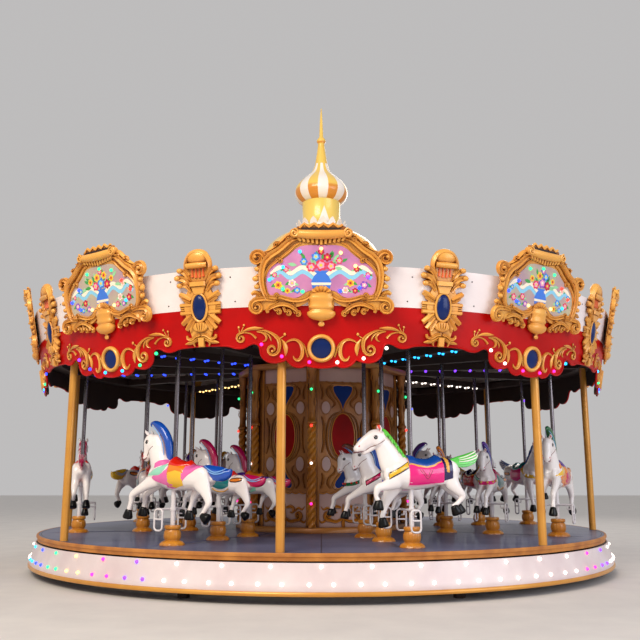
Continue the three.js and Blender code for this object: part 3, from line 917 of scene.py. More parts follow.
def pilaster():
    carving = Shape()
    right = [(105, 100), (150, 250), (175, 400), (150, 520), (110, 620), (135, 720)]
    hood = ellipse((0, 831), 152, 152, range(0, 181, 15)).tolist()
    slab(carving, right + hood + [(-x, y) for x, y in right[::-1]], 0, 26, gold, 8)
    carving.join(pilaster_half().both_sides())
    slab(carving, [(-30, 4), (30, 4), (34, 100), (-34, 100)], 10, 50, gold, 8)
    ball(carving, (0, 902, 12), (128, 88, 58), gold, 20, 8)
    swept(carving, [(-112, 822, 50), (0, 822, 58), (112, 822, 50)], circle(12), [28, 32, 28], gold,
          up=(0, 0, 1))
    for x in (-60, -20, 20, 60):
        strand(carving, [(x, 790), (x, 740), (x, 695 + abs(x) * 0.2)], [10, 11, 15], 30, BEAD, 2, hood_shade_orange, 28)
    slab(carving, [(-88, 612), (88, 612), (88, 660), (-88, 660)], 10, 66, gold, 12)
    slab(carving, [(-52, 535), (52, 535), (82, 612), (-82, 612)], 10, 48, gold, 8)
    slab(carving, ellipse((0, 205), 82, 52, range(0, 360, 20)), 10, 52, gold, 12)
    for x in (-45, -15, 15, 45):
        strand(carving, [(x, 245), (x * 0.9, 205), (x * 0.6, 170)], [10, 13, 8], 16, BEAD, 2, base=50)
    gem_line = ellipse((0, 400), 83, 140, range(0, 360, 10))
    gem_ring = np.column_stack([gem_line, np.full(len(gem_line), 34)])
    swept(carving, gem_ring, circle(8), [11, 16], gold, up=(0, 0, 1), closed=True)
    ball(carving, (0, 400, 30), (75, 132, 34), gem_blue, 20, 8)
    return carving.in_metres()


one_pilaster = pilaster()
print("pilaster:", len(one_pilaster.faces), "faces")

# %% [markdown]
# The ten pilasters and forty screws go on the white board, and together they make one piece.

# %% Setting out the pilasters
PILASTER_LOW = DECK + 1.978
SCREWS = ((-12.6, 0.06), (-13.2, 0.30), (12.6, 0.06), (13.2, 0.30))
for azimuth in PILASTERS:
    board.join(one_pilaster, leaning(azimuth, PILASTER_LOW, PROUD))
screw = Shape()
turned(screw, [(0, 0.0005), (0.0075, 0.0005), (0.0075, 0.003), (0.004, 0.005), (0, 0.005)], 10, dark_steel)
for azimuth in BAYS:
    for turn, rise in SCREWS:
        board.join(screw, leaning(azimuth + turn, BOARD_LOW + rise, PROUD))
made("crown_board_and_pilasters", board, "turntable", ["crown_board"])

# %% [markdown]
# Each picture frame is a wreath of acanthus round a painted panel, cast in one piece. One half is drawn as
# strands, from the crest over the leaves of the side to the scrolls at the foot.

# %% Half a picture frame
FRAME_LOW = DECK + 2.153
FRAME_PROUD = 0.0023
OPENING = smooth([(0, 790), (197, 780), (316, 686), (407, 622), (471, 581), (535, 512),
                  (546, 439), (526, 348), (480, 292), (407, 300), (270, 275), (197, 293),
                  (124, 343), (0, 360)], 3)


def frame_half():
    half = Shape()
    strand(half, [(230, 870), (307, 833), (416, 741), (499, 686), (556, 622), (582, 531),
                  (584, 439), (566, 348), (528, 262)],
           [26, 32, 36, 36, 34, 30, 20], 50, base=30)
    strand(half, [(196, 815), (255, 790), (300, 745), (370, 688), (440, 632), (510, 570),
                  (545, 500), (552, 420), (532, 330), (490, 280)],
           [10, 14, 16, 16, 15, 12], 36, base=32)
    strand(half, [(262, 905), (330, 878), (415, 800), (490, 745), (560, 722)],
           [20, 26, 26, 18, 8], 36, LEAF, base=22)
    curl(half, [(520, 690), (552, 668)], (626, 664), 74, 22, 170, -1.4,
         [22, 28, 27, 25, 20, 15], 62, base=28)
    curl(half, [(440, 250), (500, 262), (560, 268), (600, 262)], (628, 188), 76, 18, 100,
         -1.4, [14, 23, 28, 27, 24, 20, 14], 56, base=28)
    strand(half, [(560, 282), (610, 318), (650, 328), (682, 310)], [16, 24, 24, 16],
           42, LEAF, base=24)
    strand(half, [(108, 300), (150, 270), (200, 256), (270, 252), (340, 268), (400, 286),
                  (470, 282), (540, 292), (610, 305)],
           [18, 22, 24, 24, 22, 20, 12], 46, base=30)
    curl(half, [(350, 262), (392, 268)], (432, 300), 36, 10, 240, 1.1,
         [12, 14, 12, 10, 8], 58, base=34)
    strand(half, [(400, 262), (450, 222), (500, 200), (528, 162), (520, 130)],
           [14, 22, 26, 22, 14], 44, LEAF, base=22)
    strand(half, [(538, 150), (505, 172), (465, 192), (398, 214), (325, 206), (262, 170),
                  (232, 140)], [10, 16, 22, 24, 22, 14], 50, base=26)
    for root, heart, girth in (((452, 200), (418, 140), 34), ((360, 200), (322, 128), 34),
                               ((268, 190), (228, 118), 30)):
        curl(half, [root, (root[0] + 10, root[1] - 30)], heart, girth, 10, 30, 1.0,
             [14, 17, 16, 14, 10], 46, base=22)
    curl(half, [(175, 250), (222, 246)], (272, 214), 30, 9, 130, -1.1,
         [12, 13, 12, 8], 52, base=30)
    for root, tip, size in (((590, 575), (624, 556), 30), ((596, 490), (640, 462), 34),
                            ((590, 405), (628, 384), 30)):
        strand(half, bowed(root, tip, 0, 12), [20, 26, 22], 44, LEAF, base=24)
        ball(half, (tip[0], tip[1], 44), (size, size * 0.85, 26), gold, 10, 6)
    curl(half, [(448, 652), (430, 662)], (405, 636), 30, 9, 70, 1.0,
         [10, 12, 10, 8], 46, base=36)
    curl(half, [(372, 812), (400, 812)], (440, 792), 30, 9, 120, -1.0,
         [12, 13, 11, 8], 46, base=30)
    curl(half, [(262, 872), (290, 872)], (322, 846), 30, 9, 110, -1.0,
         [14, 14, 12, 8], 56, base=36)
    return half


# %% [markdown]
# Both halves go on a back plate. A rolled ribbon closes the top of the wreath, and an urn with a fan of
# leaves stands in its lower middle.

# %% Picture frame
WREATH = [(0, 85), (80, 95), (118, 160), (130, 235), (205, 195), (265, 180), (330, 215), (420, 212),
          (490, 190), (545, 160), (600, 150), (660, 150), (672, 225), (640, 300), (590, 345), (615, 430),
          (612, 550), (640, 610), (665, 680), (610, 720), (520, 740), (440, 790), (350, 860), (270, 915),
          (0, 925)]
RIBBON = [(-262, 903, 42), (-130, 893, 55), (0, 889, 58), (130, 893, 55), (262, 903, 42)]
URN = [(0, -4), (20, 0), (32, 14), (30, 32), (16, 44), (22, 52), (80, 64), (122, 88), (140, 116), (136, 138),
       (112, 152), (104, 164), (112, 172), (124, 184), (122, 198), (112, 212), (114, 250), (126, 268),
       (124, 284), (110, 298), (114, 318), (60, 336), (0, 340)]


def half_turned(shape, profile, sides, paint, depth, base):
    """Turns [half width, height] pairs about an upright line in the plate, flattened in depth."""
    work = Shape()
    turned(work, profile, sides, paint)
    points = work.points[:, [0, 2, 1]] * (1, 1, -depth) + (0, 0, base)
    return shape.add(points, work.faces, paint)


def rolled_ribbon(carving):
    swept(carving, smooth(RIBBON, 2), circle(12), [40, 45, 47, 45, 40], gold, up=(0, 0, 1))
    for side in (-1, 1):
        coil = spiral((side * 262, 905), 46, 10, 90, side * 1.5)
        path = np.column_stack([coil, np.full(len(coil), 78)])
        swept(carving, path, circle(8), [10, 12, 11, 9], gold, up=(0, 0, 1))
        slab(carving, ellipse((side * 262, 905), 46, 46, range(0, 360, 20)), 20, 76, gold, 6)
    # The deeper gold behind the roll and the dark brown strip in its hollow are painted shade
    slab(carving, [(-262, 925), (262, 925), (235, 975), (-235, 975)], 0, 34, shaded_gold, 6)
    slab(carving, [(-200, 930), (200, 930), (185, 962), (-185, 962)], 30, 40, brown_and_shade, 2)
    lip = [(-212 + 47 * k, 956 + (34 if k % 2 else 0) + 10 * (k not in (0, 9))) for k in range(10)]
    strand(carving, lip, [14, 18, 14], 50, BEAD, 2, base=30)
    for k in range(-5, 6):
        x = k * 40
        end = 838 - 45 * (1 - abs(k) / 6)
        strand(carving, [(x * 1.15, 868), (x * 1.08, (868 + end) / 2), (x, end)], [23, 22, 17], 32, BEAD, 2,
               base=38)


def picture_frame():
    carving = Shape()
    slab(carving, mirrored(WREATH), 0, 30, gold, 6)
    carving.join(frame_half().both_sides())
    rolled_ribbon(carving)
    half_turned(carving, URN, 24, gold, 0.46, 30)
    for k in range(5):
        turn = math.radians(-70 + 35 * k)
        tip = (100 * math.sin(turn), 316 + 78 * math.cos(turn))
        root = (30 * math.sin(turn), 312 + 15 * math.cos(turn))
        strand(carving, bowed(root, tip), [16, 29, 25], 36, LEAF, 2, base=44)
    return carving.in_metres()


wreath = picture_frame()
print("picture frame:", len(wreath.faces), "faces")

# %% [markdown]
# The panels in the frames carry painted bouquets: a vase, roses and ribbons on a mauve or a sage ground. A
# sign painter's enamels are flat and clear.

# %% Sign paints
picture_ground = painted("mauve_panel_paint", "D98CB8", "B274A8", 12, 0.42, 0.05, 0.0, 0.15, blotch_mm=260)
sage_ground = painted("sage_panel_paint", "C2BC98", "B694A0", 12, 0.42, 0.05, 0.0, 0.15, blotch_mm=340)
grounds = [picture_ground, sage_ground]
paint_codes = {"rose": "E23A5C", "pink": "F7A8C4", "yellow": "F7D43A", "orange": "F08A2A", "blue": "3D7BE0",
               "sky": "8FD2EE", "green": "3FA04A", "mint": "9AD8A0", "violet": "8A4CC0", "cream": "FFF2D8",
               "crimson": "B01028"}
brushed = {name: painted(name + "_sign_paint", code, code, 10, 0.4, 0.03, 0.0, 0.15)
           for name, code in paint_codes.items()}
PICTURE = 34.5

# %% [markdown]
# Paint goes on in thin coats, each a hair higher than the last. Petals are lobed rounds and leaves are
# pointed.


# %% Brush strokes
def layer(shape, outline, level, paint):
    """One flat coat of sign paint on the panel."""
    count = len(outline)
    levels = (PICTURE - 1, PICTURE + 0.6 * level)
    rings = [np.column_stack([outline, np.full(count, height)]) for height in levels]
    faces = wall(2, count) + [list(range(count)), list(range(count, 2 * count))]
    return shape.add(np.vstack(rings), faces, paint)


def lobed(centre, radius, lobes, depth, start=0, steps=4):
    """Outline with rounded lobes."""
    turn = np.radians(start) + np.linspace(0, 2 * math.pi, lobes * steps, endpoint=False)
    reach = radius * (1 - depth + depth * np.abs(np.cos((turn - math.radians(start)) * lobes / 2)))
    return np.column_stack([centre[0] + reach * np.cos(turn), centre[1] + reach * np.sin(turn)])


def flower(shape, x, y, size, paints, level, turn):
    petal, inner, eye = paints
    layer(shape, lobed((x, y), size, 6, 0.30, turn), level, brushed[petal])
    layer(shape, lobed((x, y), size * 0.62, 5, 0.25, turn + 20), level + 1, brushed[inner])
    layer(shape, lobed((x, y), size * 0.26, 4, 0.1, 0, 3), level + 2, brushed[eye])


def leaf(shape, x, y, size, turn, paint, level):
    outline = mirrored([(0, -0.5), (0.16, -0.2), (0.20, 0.05), (0.13, 0.3), (0, 0.55)])
    bend = math.radians(turn)
    layer(shape, [(x + size * (a * math.cos(bend) - b * math.sin(bend)),
                   y + size * (a * math.sin(bend) + b * math.cos(bend))) for a, b in outline], level, paint)


# %% [markdown]
# Each panel draws its own numbers from a fixed seed, so no two bouquets are the same. The ribbons come
# first, then the vase, the leaves, the flowers in the vase and the garlands at both sides.

# %% Bouquets
RIBBON_WAVE = [(50, 450), (180, 530), (300, 470), (400, 530), (490, 460)]
VASE = [(45, 355), (85, 370), (100, 430), (70, 490), (45, 515), (68, 540)]
SPOTS = [(0, 600, 62), (-95, 575, 50), (100, 585, 52), (-50, 672, 46), (62, 675, 44), (-165, 630, 38),
         (175, 640, 36), (0, 725, 34)]
GARLAND = ((285, 420, 40), (345, 555, 32), (420, 400, 42), (455, 500, 28), (235, 350, 34), (330, 345, 30))
MIXES = [("rose", "pink", "yellow"), ("yellow", "orange", "crimson"), ("cream", "pink", "yellow"),
         ("blue", "sky", "yellow"), ("violet", "pink", "cream"), ("crimson", "rose", "yellow")]


def ribbons(panel):
    for side in (-1, 1):
        for lift, tone in ((0, "sky"), (45, "cream")):
            line = smooth([(side * x, y + lift) for x, y in RIBBON_WAVE], 5)
            wave = np.gradient(line, axis=0)[:, ::-1] * (-1, 1)
            wave *= 20 / (np.linalg.norm(wave, axis=1)[:, None] + 1e-9)
            layer(panel, np.vstack([line + wave, (line - wave)[::-1]]), 1, brushed[tone])


def vase_and_leaves(panel, draw):
    tones = list(draw.permutation(["blue", "violet", "yellow", "rose", "mint", "orange"]))
    layer(panel, VASE + [(-x, y) for x, y in VASE[::-1]], 2, brushed[tones[0]])
    layer(panel, [(92, 400), (98, 425), (-98, 425), (-92, 400)], 3, brushed["cream"])
    for k in range(16):
        turn = draw.uniform(-100, 100)
        bend = math.radians(turn)
        reach = draw.uniform(100, 250)
        leaf(panel, reach * 1.15 * math.sin(bend), 575 + 0.62 * reach * math.cos(bend), draw.uniform(70, 100),
             -turn, brushed[["green", "mint"][k % 2]], 3)


def flowers(panel, draw):
    for k, (x, y, size) in enumerate(SPOTS):
        flower(panel, x + draw.uniform(-8, 8), y + draw.uniform(-6, 6), size,
               MIXES[int(draw.integers(len(MIXES)))], 4 + 3 * (k % 2), draw.uniform(0, 60))
    for side in (-1, 1):
        for x, y, size in GARLAND:
            leaf(panel, side * (x + size * 0.9), y, size * 1.9, side * 60, brushed["green"], 2)
            leaf(panel, side * (x - size * 0.9), y - 10, size * 1.7, side * -70, brushed["mint"], 2)
            flower(panel, side * x, y, size, MIXES[int(draw.integers(len(MIXES)))], 4, draw.uniform(0, 60))


def picture(seed, ground):
    draw = np.random.default_rng(seed)
    panel = Shape()
    slab(panel, mirrored(OPENING * (1.03, 1.0)), 28, PICTURE, ground, 0.5)
    ribbons(panel)
    vase_and_leaves(panel, draw)
    flowers(panel, draw)
    return panel.in_metres()


# %% [markdown]
# A frame and its picture stand in every bay.

# %% Setting out the frames
pictures = Shape()
frames = Shape()
for number, azimuth in enumerate(BAYS):
    place = leaning(azimuth, FRAME_LOW, FRAME_PROUD)
    frames.join(wreath, place)
    pictures.join(picture(20 + number, grounds[number % 2]), place)
made("picture_frames", frames, "turntable", [f"cartouche_{k}" for k in range(1, 11)])
made("painted_bouquets", pictures, "turntable")

# %% [markdown]
# The lamps are small domed caps on the ornament. Their places are gathered colour by colour, as each colour
# is one piece. The first lists give the caps of a bay, on the valance and in its picture frame.

# %% Lamp places
cap = Shape()
turned(cap, [(0, -0.004), (0.0165, -0.004), (0.0185, 0.003), (0.0172, 0.011), (0.0130, 0.0180),
             (0.0065, 0.0215), (0, 0.0223)], 10, lamps["warm"])
lamp_places = {name: [] for name in lamps}


def put_lamp(tone, point, azimuth, tilt=0.0):
    lamp_places[tone].append((tuple(point), facing(azimuth, tilt)))


VALANCE_LAMPS = [(-590, 46), (-390, -76), (-118, -135), (158, -137), (418, -96), (645, 10)]
VALANCE_TONES = {0: ["magenta"] * 3 + ["white"] * 3, 36: ["white"] * 2 + ["magenta"] * 3 + ["cyan"],
                 324: ["violet", "blue", "cyan", "cyan", "green", "green"]}
OTHER_TONES = [["cyan", "green", "blue"] * 2, ["magenta", "white", "violet"] * 2]
FRAME_LAMPS = [(-208, 727), (-373, 576), (-506, 453), (-375, 361), (-181, 337), (183, 343),
               (373, 373), (455, 480), (334, 586), (190, 716), (0, 755)]
FRAME_TONES = [["cyan"] * 3 + ["green"] * 2 + ["blue"] * 2 + ["violet"] + ["warm"] * 3,
               ["green"] + ["blue"] * 3 + ["warm"] * 2 + ["cyan"] + ["red"] * 2 + ["green"] * 2]
for number, azimuth in enumerate(BAYS):
    tones = VALANCE_TONES.get(azimuth, OTHER_TONES[number % 2])
    for (x, y), tone in zip(VALANCE_LAMPS, tones):
        point = on_boards(azimuth)(np.array([(x, y, 1)]) / 1000)[0]
        put_lamp(tone, point, azimuth + math.degrees(x / 1000 / board_radius(MEDALLION)), -LEAN_DEGREES)
    for (x, y), tone in zip(FRAME_LAMPS, FRAME_TONES[number % 2]):
        point = leaning(azimuth, FRAME_LOW, FRAME_PROUD)(np.array([(x, y, PICTURE)]) / 1000)[0]
        put_lamp(tone, point, azimuth, -LEAN_DEGREES)
print(sum(len(stands) for stands in lamp_places.values()), "lamps on the canopy")

# %% [markdown]
# The roof is a shallow cone of cream panels with raised seams, over the dark brown underside that the riders
# see, which is partly painted shade.

# %% Roof
ROOF_LOW = BOARD_HIGH - 0.1
ROOF_SIDES = 120
DOME_RADIUS = 0.870
SEAM = [(-1, -0.6), (-1, 0.6), (-0.5, 1), (0.5, 1), (1, 0.6), (1, -0.6)]
roof = Shape()
roof_edge = board_radius(ROOF_LOW) - 0.012


def roof_height(radius):
    return ROOF_LOW + (ROOF_CROWN - ROOF_LOW) * (roof_edge - radius) / (roof_edge - DOME_RADIUS)


upper_side = [(radius, roof_height(radius)) for radius in (roof_edge, DOME_RADIUS + 0.002)]
lower_side = [(radius, rise - 0.025) for radius, rise in upper_side[::-1]]
turned(roof, upper_side + lower_side, ROOF_SIDES, roof_cream)
# The underside is the dark brown, partly painted shade
roof.paints[2 * ROOF_SIDES:3 * ROOF_SIDES] = [brown_and_shade] * ROOF_SIDES
for k in range(40):
    seam = [around(radius, 9 * k, roof_height(radius) + 0.004)
            for radius in np.linspace(0.90, roof_edge - 0.03, 5)]
    swept(roof, seam, SEAM, [[0.014, 0.012]] * 2, roof_cream, up=(0, 0, 1))
made("roof_panels", roof, "turntable", ["roof"])

# %% [markdown]
# On the onion the stripes are painted: eight white and eight gold. The gold is pale above and deep orange
# where it curves under, and the deep orange is painted shade, so its colour follows the height. One material
# does it all from the angle round the axis and the height, which keeps the stripes sharp without extra faces.


# %% Striped paint
def striped(name, count, turn, pale, deep, change, white="FBF3EC", share=0.5, taper=None):
    """White stripes round the axis on gold that changes tone at a height. A deeper tone below that height is
    painted shade.
    """
    material = painted(name, pale, pale, 25, 0.3, 0.06, 0.05, 0.4)
    tree = material.node_tree
    shader = next(node for node in tree.nodes if node.type == "BSDF_PRINCIPLED")
    place = add(tree, "ShaderNodeSeparateXYZ", {"Vector": add(tree, "ShaderNodeTexCoord").outputs["Object"]})
    x, y, z = place.outputs[0], place.outputs[1], place.outputs[2]
    back = add(tree, "ShaderNodeMath", {0: y, 1: -1.0}, operation="MULTIPLY")
    angle = add(tree, "ShaderNodeMath", {0: x, 1: back.outputs[0]}, operation="ARCTAN2")
    bent = add(tree, "ShaderNodeMath", {0: angle.outputs[0], 1: math.radians(-turn)}, operation="ADD")
    half = math.pi / count
    near = add(tree, "ShaderNodeMath", {0: bent.outputs[0], 1: half}, operation="PINGPONG")
    limit = half * share
    if taper:
        limit = add(tree, "ShaderNodeMapRange", {
            "Value": z, "From Min": taper[0], "From Max": taper[1], "To Min": limit,
            "To Max": 0.0}).outputs[0]
    inside = add(tree, "ShaderNodeMath", {0: limit, 1: near.outputs[0]}, operation="SUBTRACT")
    mask = add(tree, "ShaderNodeMapRange", {
        "Value": inside.outputs[0], "From Min": -0.006, "From Max": 0.006})
    rise = add(tree, "ShaderNodeMapRange", {
        "Value": z, "From Min": change - 0.015, "From Max": change + 0.02})
    tone = add(tree, "ShaderNodeMix", {0: rise.outputs[0], 6: linear(deep), 7: linear(pale)},
               data_type="RGBA")
    paint = add(tree, "ShaderNodeMix", {0: mask.outputs[0], 6: tone.outputs[2], 7: linear(white)},
                data_type="RGBA")
    tree.links.new(paint.outputs[2], shader.inputs["Base Color"])
    return material


# The onion's deep orange below the height is painted shade
onion_stripes_and_shade = striped("onion_stripe_and_shade_paint", 8, 4.0, "F5CB5A", "E0912F", DECK + 4.965)
drum_paint = striped("drum_petal_paint", 4, 9.0, "F6D468", "F6D468", DECK + 4.0, share=0.42,
                     taper=(DECK + 4.38, DECK + 4.66))
dome_paint = striped("dome_wedge_paint", 6, 30.0, "F4D070", "F4D070", DECK + 3.0, share=0.36)

# %% [markdown]
# The low dome springs from a short wall with a bead. Its top is cut flat for the onion's drum.

# %% Low dome
dome = Shape()
dome_wall = DECK + 3.863
dome_line = [(0.866 * math.cos(a) + 0.004, dome_wall + (DOME_TOP - dome_wall) * math.sin(a) * 1.02)
             for a in np.linspace(0, math.acos(0.36 / 0.87), 12)]
dome_foot = [(0.0, ROOF_CROWN - 0.012), (DOME_RADIUS, ROOF_CROWN - 0.012), (DOME_RADIUS, dome_wall - 0.02),
             (0.884, dome_wall - 0.012), (0.884, dome_wall)]
turned(dome, dome_foot + dome_line + [(0, DOME_TOP - 0.001)], 96, dome_paint)
made("low_dome", dome, "turntable", ["roof_dome"])

# %% [markdown]
# The onion stands on a waisted drum with a collar of pointed petals. Its heights are measured from the
# deck.


# %% Onion dome
def above_deck(profile):
    """A profile with its heights measured from the deck."""
    return [(radius, DECK + rise) for radius, rise in profile]


onion = Shape()
drum = [(0, 0), (0.365, 0), (0.362, 0.018), (0.335, 0.045), (0.305, 0.075), (0.288, 0.115), (0.284, 0.20)]
turned(onion, [(radius, DOME_TOP + rise) for radius, rise in drum]
       + above_deck([(0.286, 4.770), (0.290, 4.778), (0, 4.779)]), 96, drum_paint)
bulge = smooth(above_deck([(0.292, 4.776), (0.352, 4.820), (0.392, 4.885), (0.402, 4.945), (0.384, 5.020),
                           (0.330, 5.098), (0.262, 5.165), (0.196, 5.222), (0.148, 5.276), (0.118, 5.335),
                           (0.097, 5.405)]), 3)
turned(onion, above_deck([(0, 4.776)]) + bulge.tolist() + above_deck([(0, 5.4055)]), 96, onion_stripes_and_shade)
PETAL_LEAN = 14
petal = Shape()
slab(petal, mirrored([(0, 0), (0.060, 0), (0.052, 0.045), (0.030, 0.085), (0, 0.115)]), -0.004, 0.006,
     petal_white, 0.004)
for k in range(16):
    onion.join(petal, by_matrix(Matrix.Rotation(math.radians(22.5 * k + 4), 4, "Z")
                                @ Matrix.Translation((0, -0.350, DOME_TOP + 0.012))
                                @ Matrix.Rotation(math.radians(90 + PETAL_LEAN), 4, "X")))
made("onion_dome_skin", onion, "turntable", ["onion_dome"])

# %% [markdown]
# The spire is one turned piece with a knop, whose underside is a deeper gold that is painted shade.

# %% Spire
SPIRE_SIDES = 32
KNOP_ROW = 5
spire = Shape()
spire_line = [(0.078, 5.52), (0.060, 5.64), (0.048, 5.742), (0.052, 5.752), (0.068, 5.778), (0.069, 5.800),
              (0.058, 5.826), (0.040, 5.846), (0.030, 5.866), (0.027, 5.98), (0.022, 6.10), (0.013, 6.23),
              (0.006, 6.331)]
turned(spire, [(0, ONION_TOP + 0.0005), (0.095, ONION_TOP + 0.0005)] + above_deck(spire_line)
       + [(0.003, TIP - 0.001), (0, TIP)], SPIRE_SIDES, pale_gold)
# The knop's underside row is painted shade
spire.paints[KNOP_ROW * SPIRE_SIDES:(KNOP_ROW + 1) * SPIRE_SIDES] = [knop_shade_gold] * SPIRE_SIDES
made("spire_skin", spire, "turntable", ["spire"])

# %% [markdown]
# The centre hides the motor and the middle pole behind eight carved faces. Its carvings stand upright, and
# raised lines run round their panels.


# %% Upright carvings
def upright(azimuth, radius):
    """Stands a flat carving upright at a radius: its x across, its y up from the deck and its z out."""
    return by_matrix(Matrix.Rotation(math.radians(azimuth), 4, "Z") @ Matrix.Translation((0, -radius, DECK))
                     @ Matrix.Rotation(math.pi / 2, 4, "X"))


def closed_line(shape, outline, width, level, paint=shaded_gold):
    """A raised line round a closed outline."""
    path = np.column_stack([outline, np.full(len(outline), level)])
    return swept(shape, path, circle(5), [[width, width * 0.9]] * 2, paint, up=(0, 0, 1), closed=True)


# %% [markdown]
# Each face shows a blue heart, a red enamel oval and a blue spade in gold tracery, over a pale foot with
# acanthus. The tracery is drawn for the right half.

# %% Centre face
HEART = [(0, 1895), (70, 1900), (128, 1885), (140, 1850), (112, 1775), (58, 1700), (26, 1640), (12, 1590),
         (0, 1545)]
SPADE = [(0, 830), (18, 780), (56, 715), (106, 650), (122, 595), (92, 556), (46, 556), (16, 575), (0, 560)]
TRACERY = (([(20, 1540), (110, 1520), (185, 1440), (215, 1320), (222, 1200), (205, 1060), (150, 960),
             (60, 905), (12, 880)], [6, 12, 14, 12, 6]),
           ([(290, 1480), (262, 1380), (258, 1260), (262, 1120), (292, 1010)], [10, 16, 20, 16, 10]),
           ([(175, 1880), (210, 1830), (190, 1750), (130, 1700), (110, 1640), (150, 1600)],
            [10, 16, 15, 12, 6]),
           ([(300, 1900), (270, 1820), (268, 1760), (290, 1710)], [12, 18, 16, 8]),
           ([(170, 560), (205, 610), (190, 690), (125, 745), (105, 800), (140, 850)], [10, 16, 15, 12, 6]),
           ([(300, 560), (272, 640), (270, 700), (290, 750)], [12, 18, 16, 8]))


def acanthus_foot(half):
    strand(half, [(30, 310), (90, 330), (140, 300), (120, 250), (80, 255)], [14, 20, 18, 14, 6], 28,
           paint=amber)
    curl(half, [(20, 170), (90, 140), (160, 150)], (205, 215), 62, 14, 250, 1.3, [18, 22, 20, 16, 10], 34,
         amber)
    strand(half, [(150, 270), (210, 310), (262, 290), (300, 330)], [10, 16, 12, 3], 26, LEAF, paint=amber)
    strand(half, [(240, 150), (290, 130), (320, 165)], [14, 14, 4], 26, LEAF, paint=amber)


def centre_face():
    face = Shape()
    # The centre's gold is the deeper, shaded copy: painted shade
    slab(face, [(-330, 500), (330, 500), (330, 1945), (-330, 1945)], -10, 6, shaded_gold, 3)
    oval = ellipse((0, 1232), 158, 292, np.linspace(0, 360, 28, False))
    for outline, paint in ((mirrored(smooth(HEART, 3)), deep_blue), (mirrored(smooth(SPADE, 3)), deep_blue),
                           (oval, oval_red)):
        outline = np.array(outline)
        middle = outline.mean(0)
        slab(face, outline, 0, 16, paint, 8)
        closed_line(face, outline, 9, 12, amber)
        closed_line(face, middle + (outline - middle) * (1.17, 1.09), 10, 10)
    half = Shape()
    for centre, across, rise in (((232, 1600), 66, 88), ((228, 868), 66, 100)):
        patch = ellipse(centre, across, rise, range(0, 360, 18))
        slab(half, patch, 0, 9, panel_pink, 3)
        closed_line(half, patch, 8, 8)
    for line, widths in TRACERY:
        strand(half, line, widths, 22, paint=shaded_gold, base=8)
    for top, paint in ((1945, shaded_gold), (512, amber)):
        scallop = [(x, top - 22 * abs(math.sin(x * math.pi / 110))) for x in np.linspace(0, 330, 16)]
        strand(half, scallop, [8, 8], 12, BEAD, 1, paint, 6)
    acanthus_foot(half)
    slab(half, [(325, 0), (405, 0), (405, 2195), (325, 2195)], -10, 14, shaded_gold, 6)
    strand(half, [(348, 20), (348, 1100), (348, 2180)], [7, 7], 8, BEAD, 2, amber, 14)
    face.join(half.both_sides())
    strand(face, [(0, 20), (0, 180), (0, 360)], [20, 26, 6], 34, LEAF, 3, amber)
    return face.in_metres()


# %% [markdown]
# Behind the faces stands an eight-sided core, and the faces are set on its flats.

# %% Centre
CORE = 1.080
FACE = CORE * math.cos(math.radians(22.5))
CORE_LOW = DECK + 2 * GAP
CORE_HIGH = CEILING_LOW - 2 * GAP
centre = Shape()
core = Shape()
turned(core, [(0, CORE_LOW), (CORE, CORE_LOW), (CORE, CORE_HIGH), (0, CORE_HIGH)], 8, panel_pink)
centre.join(core, spun(CORNERS[0]))
one_face = centre_face()
for azimuth in CORNERS:
    centre.join(one_face, upright(azimuth + 22.5, FACE))
made("centre_faces", centre, "turntable", ["centre_drum"])

# %% [markdown]
# A twisted rope column stands at each corner. A rope is one lobed outline swept up a straight line while it
# turns, which Geometry Nodes does with the curve's tilt. Height, radius and turns are named inputs.


